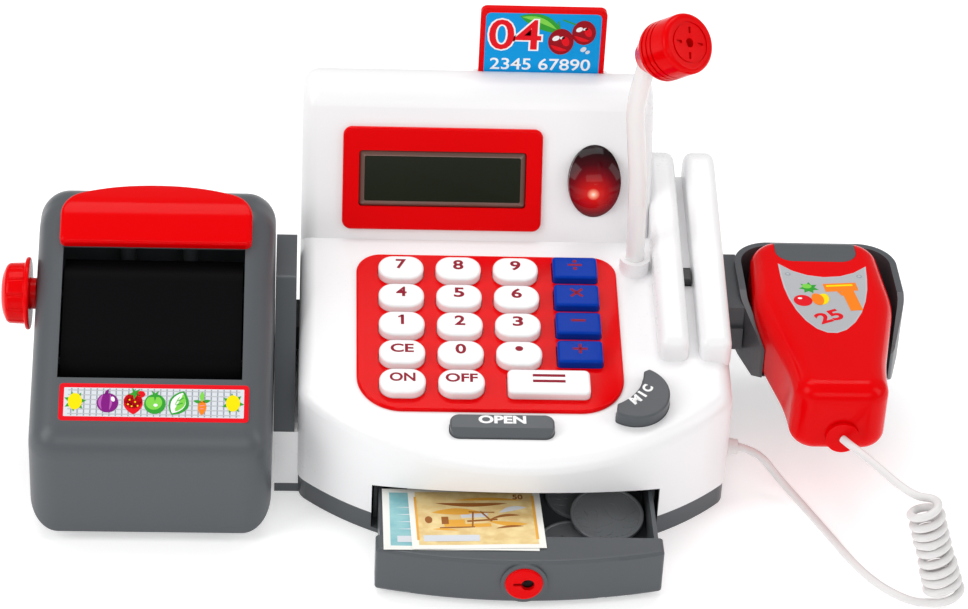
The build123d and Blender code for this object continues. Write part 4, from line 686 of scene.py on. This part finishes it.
def note(name, width, depth, u, v, lift, turn, paper, tone, accent, figure, drawing):
    """Slightly curled note with a white border, a blotched field, a drawing and figures."""
    columns, lines_across = 36, 20
    mesh = bmesh.new()
    print_uv = mesh.loops.layers.uv.new("print")

    def curl(x, y):
        return lift + 0.16 * math.sin(x / width * 4.4 + 0.7) ** 2 + 0.25 * (y / depth) ** 2

    sheets = []
    for z in (0.0, NOTE_THICK):
        sheets.append([[mesh.verts.new((x, y, curl(x, y) + z)) for x in
                        ((i / columns - 0.5) * width for i in range(columns + 1))]
                       for y in ((j / lines_across - 0.5) * depth for j in range(lines_across + 1))])
    for grid, flip in ((sheets[0], True), (sheets[1], False)):
        for j in range(lines_across):
            for i in range(columns):
                corners = [grid[j][i], grid[j][i + 1], grid[j + 1][i + 1], grid[j + 1][i]]
                mesh.faces.new(reversed(corners) if flip else corners)
    rim = [(0, i) for i in range(columns + 1)] + [(j, columns) for j in range(1, lines_across + 1)]
    rim += [(lines_across, i) for i in range(columns - 1, -1, -1)]
    rim += [(j, 0) for j in range(lines_across - 1, 0, -1)]
    for (j0, i0), (j1, i1) in zip(rim, rim[1:] + rim[:1]):
        mesh.faces.new((sheets[0][j0][i0], sheets[0][j1][i1], sheets[1][j1][i1], sheets[1][j0][i0]))
    for face in mesh.faces:
        for corner in face.loops:
            corner[print_uv].uv = (corner.vert.co.x / width + 0.5, corner.vert.co.y / depth + 0.5)
    where = Matrix.Translation(place(u, v, 0)) @ Matrix.Scale(MILLIMETRE, 4) @ Matrix.Rotation(
        math.radians(turn), 4, "Z")
    paper_print = new_material(name + "_paper", Roughness=0.7)
    tree = paper_print.node_tree
    uv = tree.nodes.new("ShaderNodeUVMap")
    uv.uv_map = "print"
    split = tree.nodes.new("ShaderNodeSeparateXYZ")
    link(tree, uv.outputs["UV"], split.inputs[0])
    edge_x = sum_node(tree, "ABSOLUTE", sum_node(tree, "SUBTRACT", split.outputs["X"], 0.5), 0.0)
    edge_y = sum_node(tree, "ABSOLUTE", sum_node(tree, "SUBTRACT", split.outputs["Y"], 0.5), 0.0)
    inside = sum_node(tree, "MULTIPLY", sum_node(tree, "LESS_THAN", edge_x, 0.5 - NOTE_BORDER_X / width),
                      sum_node(tree, "LESS_THAN", edge_y, 0.5 - NOTE_BORDER_Y / depth))
    wash = noise(tree, uv.outputs["UV"], 2.6, 4.0)
    blotch = noise(tree, uv.outputs["UV"], 7.0, 6.0)
    scene_tone = tree.nodes.new("ShaderNodeValToRGB")
    link(tree, blotch, scene_tone.inputs["Fac"])
    stops = scene_tone.color_ramp.elements
    stops[0].position, stops[0].color = 0.42, (*accent, 1)
    stops[1].position, stops[1].color = 0.62, (*tone, 1)
    lace = tree.nodes.new("ShaderNodeMix")
    lace.data_type = "RGBA"
    link(tree, wash, lace.inputs["Factor"])
    lace.inputs[6].default_value = (*tone, 1)
    link(tree, scene_tone.outputs["Color"], lace.inputs[7])
    border = tree.nodes.new("ShaderNodeMix")
    border.data_type = "RGBA"
    link(tree, inside, border.inputs["Factor"])
    border.inputs[6].default_value = (*paper, 1)
    link(tree, lace.outputs[2], border.inputs[7])
    fibre = add_group(paper_print, skin, Tint_Spread=0.10, Roughness=0.62, Roughness_Spread=0.15,
                      Ripple_Scale=2500.0)
    link(tree, border.outputs[2], fibre.inputs["Colour"])
    link(tree, fibre.outputs["Colour"], shader_of(paper_print).inputs["Base Color"])
    link(tree, fibre.outputs["Roughness"], shader_of(paper_print).inputs["Roughness"])
    piece = add_piece(name, finish_mesh(mesh, where), paper_print, "drawer", 60)
    strip_place = (-width * 0.20, -depth * 0.33)
    layers = [(figure_outlines(figure, 3.4, width * 0.33, depth * 0.34, None, 0.02), 1, "brown"),
              (moved(rounded(width * 0.42, depth * 0.10, 0.2), *strip_place), 1, "pale"), *drawing]
    marks = printing(name + "_figures", layers, where, "drawer", sink=0.0,
                     surface=lambda p: Vector((p.x, p.y, p.z + curl(p.x, p.y) + NOTE_THICK)))
    return piece


NOTE_Z = 24.36
TOWN = [(leaf(-19, 4, 4, 3, 4.4, 1.2), 0, "ochre"), (bar(-14, -3.5, -5, -3.2, 4.6), 0, "ochre"),
        (bar(-15, -1.5, -12, -1.5, 5.0), 1, "brown"), (bar(-6.5, 1.5, 5, 1.8, 2.6), 0, "pale"),
        (bar(-9, -5.4, 6, -5.0, 2.2), 1, "ochre"), (bar(-4, -2.2, 9, -1.2, 1.1), 1, "brown"),
        (bar(2, 4.5, 6.5, -2.5, 0.8), 1, "brown"), (leaf(5, -2.5, 22, -4.5, 2.8, -0.8), 0, "ochre"),
        (leaf(6, -1.0, 19, 1.5, 1.6, 1.2), 1, "brown"), (leaf(-17, 10.5, 14, 9.8, 2.6, -1.0), 0, "brown"),
        (leaf(-8, 12.5, 20, 12.0, 2.0, 0.8), 0, "ochre"), (leaf(8, -7.5, 20, -6.0, 1.4, 0.6), 1, "brown"),
        (oval(-20.5, -1.0, 1.6, 2.4), 0, "brown"), (bar(-2, -6.5, -1.2, 4.0, 0.7), 2, "brown"),
        (bar(-16, -6.6, -1, -6.2, 0.6), 2, "brown"), (bar(-3, 4.2, 8, 3.6, 0.6), 2, "brown"),
        (leaf(10, 3.5, 22, 7.0, 3.0, 1.0), 0, "pale"), (leaf(-19, -7.5, -8, -8.5, 1.2, 0.4), 1, "ochre"),
        (bar(-25.6, -15, -25.6, 15, 1.0), 0, "ochre"), (bar(25.2, -15, 25.2, 15, 1.2), 0, "ochre")]
WAVES = [(leaf(-27, 8 - 5 * i, 24, 7 - 5 * i, 1.6, 0.8), 0, "pale") for i in range(4)]
note_under = note("note_under", 66.0, 42.0, -25.1, -92.1, NOTE_Z, 0.3, (0.84, 0.84, 0.80), (0.20, 0.47, 0.52),
                  (0.36, 0.62, 0.62), "20", WAVES)
note("note_top", 57.0, 42.0, -18.1, -91.3, NOTE_Z + 0.35, 2.0, (0.88, 0.87, 0.82),
     (0.86, 0.68, 0.33), (0.62, 0.38, 0.12), "50", TOWN)
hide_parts("banknotes")

# ======================================================================= coins
# Silver-grey plastic coins with a raised rim, figures and a ring of dots.
coin_grey = moulded("coin_grey", (0.27, 0.285, 0.30), 0.30, spread=0.1, tint=0.06, ripple=1200.0,
                    ripple_depth=0.00002)
COIN_THICK, COIN_RADIUS = 1.8, 16.2
FACE_SINK = 0.4                # how far the face lies under the rim
COIN_POINTS, COIN_DOTS = 72, 36


def coin(name, radius, x, y, z, turn, figure, tilt=0.0):
    """One coin: turned blank with a rim, then raised figures, dots and a sprig."""
    half = COIN_THICK / 2
    face = half - FACE_SINK
    profile = [(radius - 0.35, -half), (radius, -half + 0.3), (radius, half - 0.3), (radius - 0.35, half),
               (radius - 1.1, half), (radius - 1.5, face), (0.6, face)]
    angles = [2 * math.pi * i / COIN_POINTS for i in range(COIN_POINTS)]
    blank = stacked([[(r * math.cos(a), r * math.sin(a), h) for a in angles] for r, h in profile])
    where = (Matrix.Translation(place(x, y, z)) @ Matrix.Scale(MILLIMETRE, 4)
             @ Matrix.Rotation(math.radians(tilt), 4, "X") @ Matrix.Rotation(math.radians(turn), 4, "Z"))
    piece = add_piece(name, finish_mesh(blank, where), coin_grey, "drawer", 30)
    layers = [(figure_outlines(figure, radius * 0.80, 0, 0.5, None, 0.02), 5, "silver")]
    layers += [(oval((radius - 2.4) * math.cos(a), (radius - 2.4) * math.sin(a), 0.35, count=10), 4, "silver")
               for a in (2 * math.pi * i / COIN_DOTS for i in range(COIN_DOTS))]
    low, high = 0.62 * radius, 0.80 * radius
    for side in (-1, 1):
        layers += [(leaf(side * low * math.sin(a), -low * math.cos(a),
                         side * high * math.sin(a + 0.25), -high * math.cos(a + 0.25), 1.5), 4, "silver")
                   for a in (0.25, 0.7, 1.15, 1.6)]
    relief = printing(name + "_relief", layers, where, "drawer", base=face)
    relief.data.materials.clear()
    relief.data.materials.append(coin_grey)
    return piece


COIN_FLOOR = 4.45 + COIN_THICK / 2
coin_front = coin("coin_front", COIN_RADIUS, 25.5, -84.0, COIN_FLOOR, 20.0, "5")
coin("coin_back", COIN_RADIUS, 31.0, -50.0, COIN_FLOOR, -35.0, "10")
coin("coin_top", COIN_RADIUS, 40.5, -68.5, COIN_FLOOR + 4.6, 25.0, "20", 9.0)
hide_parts("coins")

# ======================================================================= station
# Grey sloping housing at the left with a black belt in it, hung on the
# register by a side plate, on four feet.
dress(grey_plastic, "station_housing", "station_base", "link_bracket")
dress(red_plastic, "station_hood", "belt_knob")
belt_black = moulded("belt_black", (0.0035, 0.0035, 0.004), 0.45, spread=0.04, tint=0.2, ripple=1400.0,
                     ripple_depth=0.00002, Specular_IOR_Level=0.02)
dress(belt_black, "conveyor_belt")
dress(satin_black, "drive_roller", "idler_roller")


def on_slope(u, v, w, turn=0.0):
    """Place on the station's slope."""
    return tilted((0, -79, 52), SLOPE_ANGLE, u, v, w, turn)


# Printed strip beside the belt: a red border, a wire grid with a flower at each
# end, and five fruits and vegetables in a row.
STRIP = (80.8, 17.4)
GRID_X, GRID_Y = 2.7, 2.2
strip_layers = [(rounded(STRIP[0], STRIP[1], 1.6), 0, "red"),
                (rounded(STRIP[0] - 4.2, STRIP[1] - 4.0, 0.4), 1, "pale")]
for i in range(27):
    x = -35.1 + i * GRID_X
    strip_layers.append((bar(x, -6.4, x, 6.4, 0.55), 2, "grey"))
for j in range(6):
    y = -5.5 + j * GRID_Y
    strip_layers.append((bar(-36.6, y, 36.6, y, 0.45), 3, "silver"))
for side in (-1, 1):
    strip_layers += [(spiky(side * 33.6, 0.2, 4.8, 2.6, 7, 20 * side), 4, "green"),
                     (oval(side * 33.6, 0.2, 3.0, 3.8), 5, "yellow")]


def fruit(x, kind):
    """Small printed vegetable or fruit."""
    if kind == "onion":
        return [(oval(x, -0.3, 4.6, 4.5), 4, "purple"), (leaf(x - 1.2, 3.2, x + 0.3, 6.0, 1.4), 4, "purple"),
                (leaf(x - 2.4, -3.6, x - 2.0, 3.6, 1.3, 1.2), 5, "light_purple"),
                (leaf(x + 0.8, -3.8, x + 0.9, 3.8, 1.0, -0.6), 5, "light_purple"),
                (oval(x + 2.2, 1.4, 0.8, 1.2, 20), 6, "white")]
    if kind == "strawberry":
        seeds = ((-1.8, 1.2), (0.6, 0.2), (-0.8, -1.8), (1.7, -1.6), (-2.4, -0.9))
        return [(leaf(x, -5.6, x - 0.4, 5.0, 8.2), 4, "red"), (oval(x - 0.3, 0.8, 4.0, 3.6), 4, "red"),
                (spiky(x + 0.5, 4.2, 3.0, 1.1, 5, 10), 5, "green"), (oval(x + 2.9, 3.9, 1.9, 1.5), 5, "red"),
                *((oval(x + dx, dy, 0.35), 6, "yellow") for dx, dy in seeds)]
    if kind == "tomato":
        return [(oval(x, -0.6, 4.6, 4.6), 5, "green"), (oval(x - 0.4, 0.0, 3.5, 3.3), 6, "light_green"),
                (spiky(x, 3.4, 2.7, 0.9, 5, 18), 7, "green"), (oval(x + 0.3, -1.2, 0.9, 0.7), 7, "white")]
    if kind == "cabbage":
        return [(leaf(x - 2.6, -5.6, x + 2.4, 5.6, 8.6, -0.6), 4, "green"),
                (leaf(x - 2.4, -4.8, x + 2.0, 4.8, 6.2, -0.4), 5, "white"),
                (leaf(x - 1.0, -4.0, x + 2.4, 4.2, 4.0, -0.4), 6, "light_green"),
                (bar(x - 2.4, -4.4, x + 1.6, 3.6, 0.6), 7, "white"),
                (bar(x - 0.8, -1.0, x + 2.0, 0.0, 0.4), 7, "green"),
                (bar(x - 0.2, 0.8, x + 2.4, 2.4, 0.4), 7, "green")]
    return [(leaf(x, -5.6, x + 0.2, 2.0, 3.6), 5, "orange"), (leaf(x - 3.6, 1.2, x, 0.4, 1.4), 5, "green"),
            (leaf(x, 0.6, x + 3.6, 1.4, 1.4), 5, "green"), (leaf(x, 0.6, x, 5.6, 1.9), 6, "light_green"),
            (bar(x - 1.0, -1.2, x + 1.1, -1.0, 0.4), 6, "pink"),
            (bar(x - 0.8, -2.6, x + 0.7, -2.5, 0.4), 6, "pink")]


for x, kind in ((-19.7, "onion"), (-8.6, "strawberry"), (0.4, "tomato"), (10.2, "cabbage"), (20.4, "carrot")):
    strip_layers += fruit(x, kind)
strip = printing("fruit_strip", strip_layers, on_slope(-156.3, 19.8, 0.0), "root", sink=0.0)

# ======================================================================= scanner
# Red two-part hand scanner in a grey holster, with a grey nose, a black
# trigger and a silver badge on top.
dress(grey_plastic, "scanner_cradle", "scanner_nose")
dress(satin_black, "scanner_trigger")
dress(red_plastic, "scanner_upper_shell", "scanner_lower_shell")
BADGE_TOP = [(-20.0, 28.4), (-14.0, 22.8), (-7.5, 19.6), (0.0, 18.4), (7.5, 19.6), (14.0, 22.8), (20.0, 28.4)]
BADGE_EDGE = [(19.6, 18.0), (18.8, 9.0), (17.2, 0.0), (14.6, -9.0), (11.0, -17.0), (6.6, -23.0), (2.2, -25.8)]
BADGE = BADGE_TOP + BADGE_EDGE + [(-x, y) for x, y in reversed(BADGE_EDGE)]
BADGE_MIDDLE = (140.6, 8.6, 73.0)
badge_layers = [(BADGE, 0, "silver"), (moved(BADGE, 0, 0, 0.95), 1, "plate")]
for side in (-1, 1):
    badge_layers += [(oval(side * 16.2, 20.0, 1.3), 2, "grey"), (oval(side * 16.2, 20.0, 0.7), 3, "silver")]
badge_layers += [(spiky(-7.6, 9.2, 4.6, 2.6, 7, 10), 2, "green"),
                 (oval(-8.4, 10.4, 2.2, 1.8), 3, "light_green"),
                 (oval(-11.0, -1.2, 4.2, 4.4), 3, "red"), (oval(-12.2, 0.4, 1.0, 0.7), 4, "white"),
                 (oval(-4.4, 0.2, 2.6, 4.6, 8), 4, "orange"), (oval(-1.8, 0.4, 2.6, 4.4, -10), 5, "yellow"),
                 (oval(-3.4, -0.4, 1.9, 4.0), 6, "orange"), (bar(-0.6, 9.6, 14.4, 11.6, 6.4), 2, "orange"),
                 (bar(9.2, 11.0, 12.6, -7.6, 5.6), 3, "orange"),
                 (bar(0.4, 11.0, 12.4, 12.6, 1.2), 4, "yellow"),
                 (bar(5.6, 7.4, 7.6, 4.0, 1.4), 4, "orange"),
                 (figure_outlines("25", 8.2, -0.4, -13.2, 12.4, 0.03, 28.0), 3, "red")]
badge_place = (Matrix.Translation(place(*BADGE_MIDDLE)) @ Matrix.Scale(MILLIMETRE, 4)
               @ Matrix.Rotation(math.radians(-2.0), 4, "Z"))
badge = printing("scanner_badge", badge_layers, badge_place, "scanner", sink=0.0)
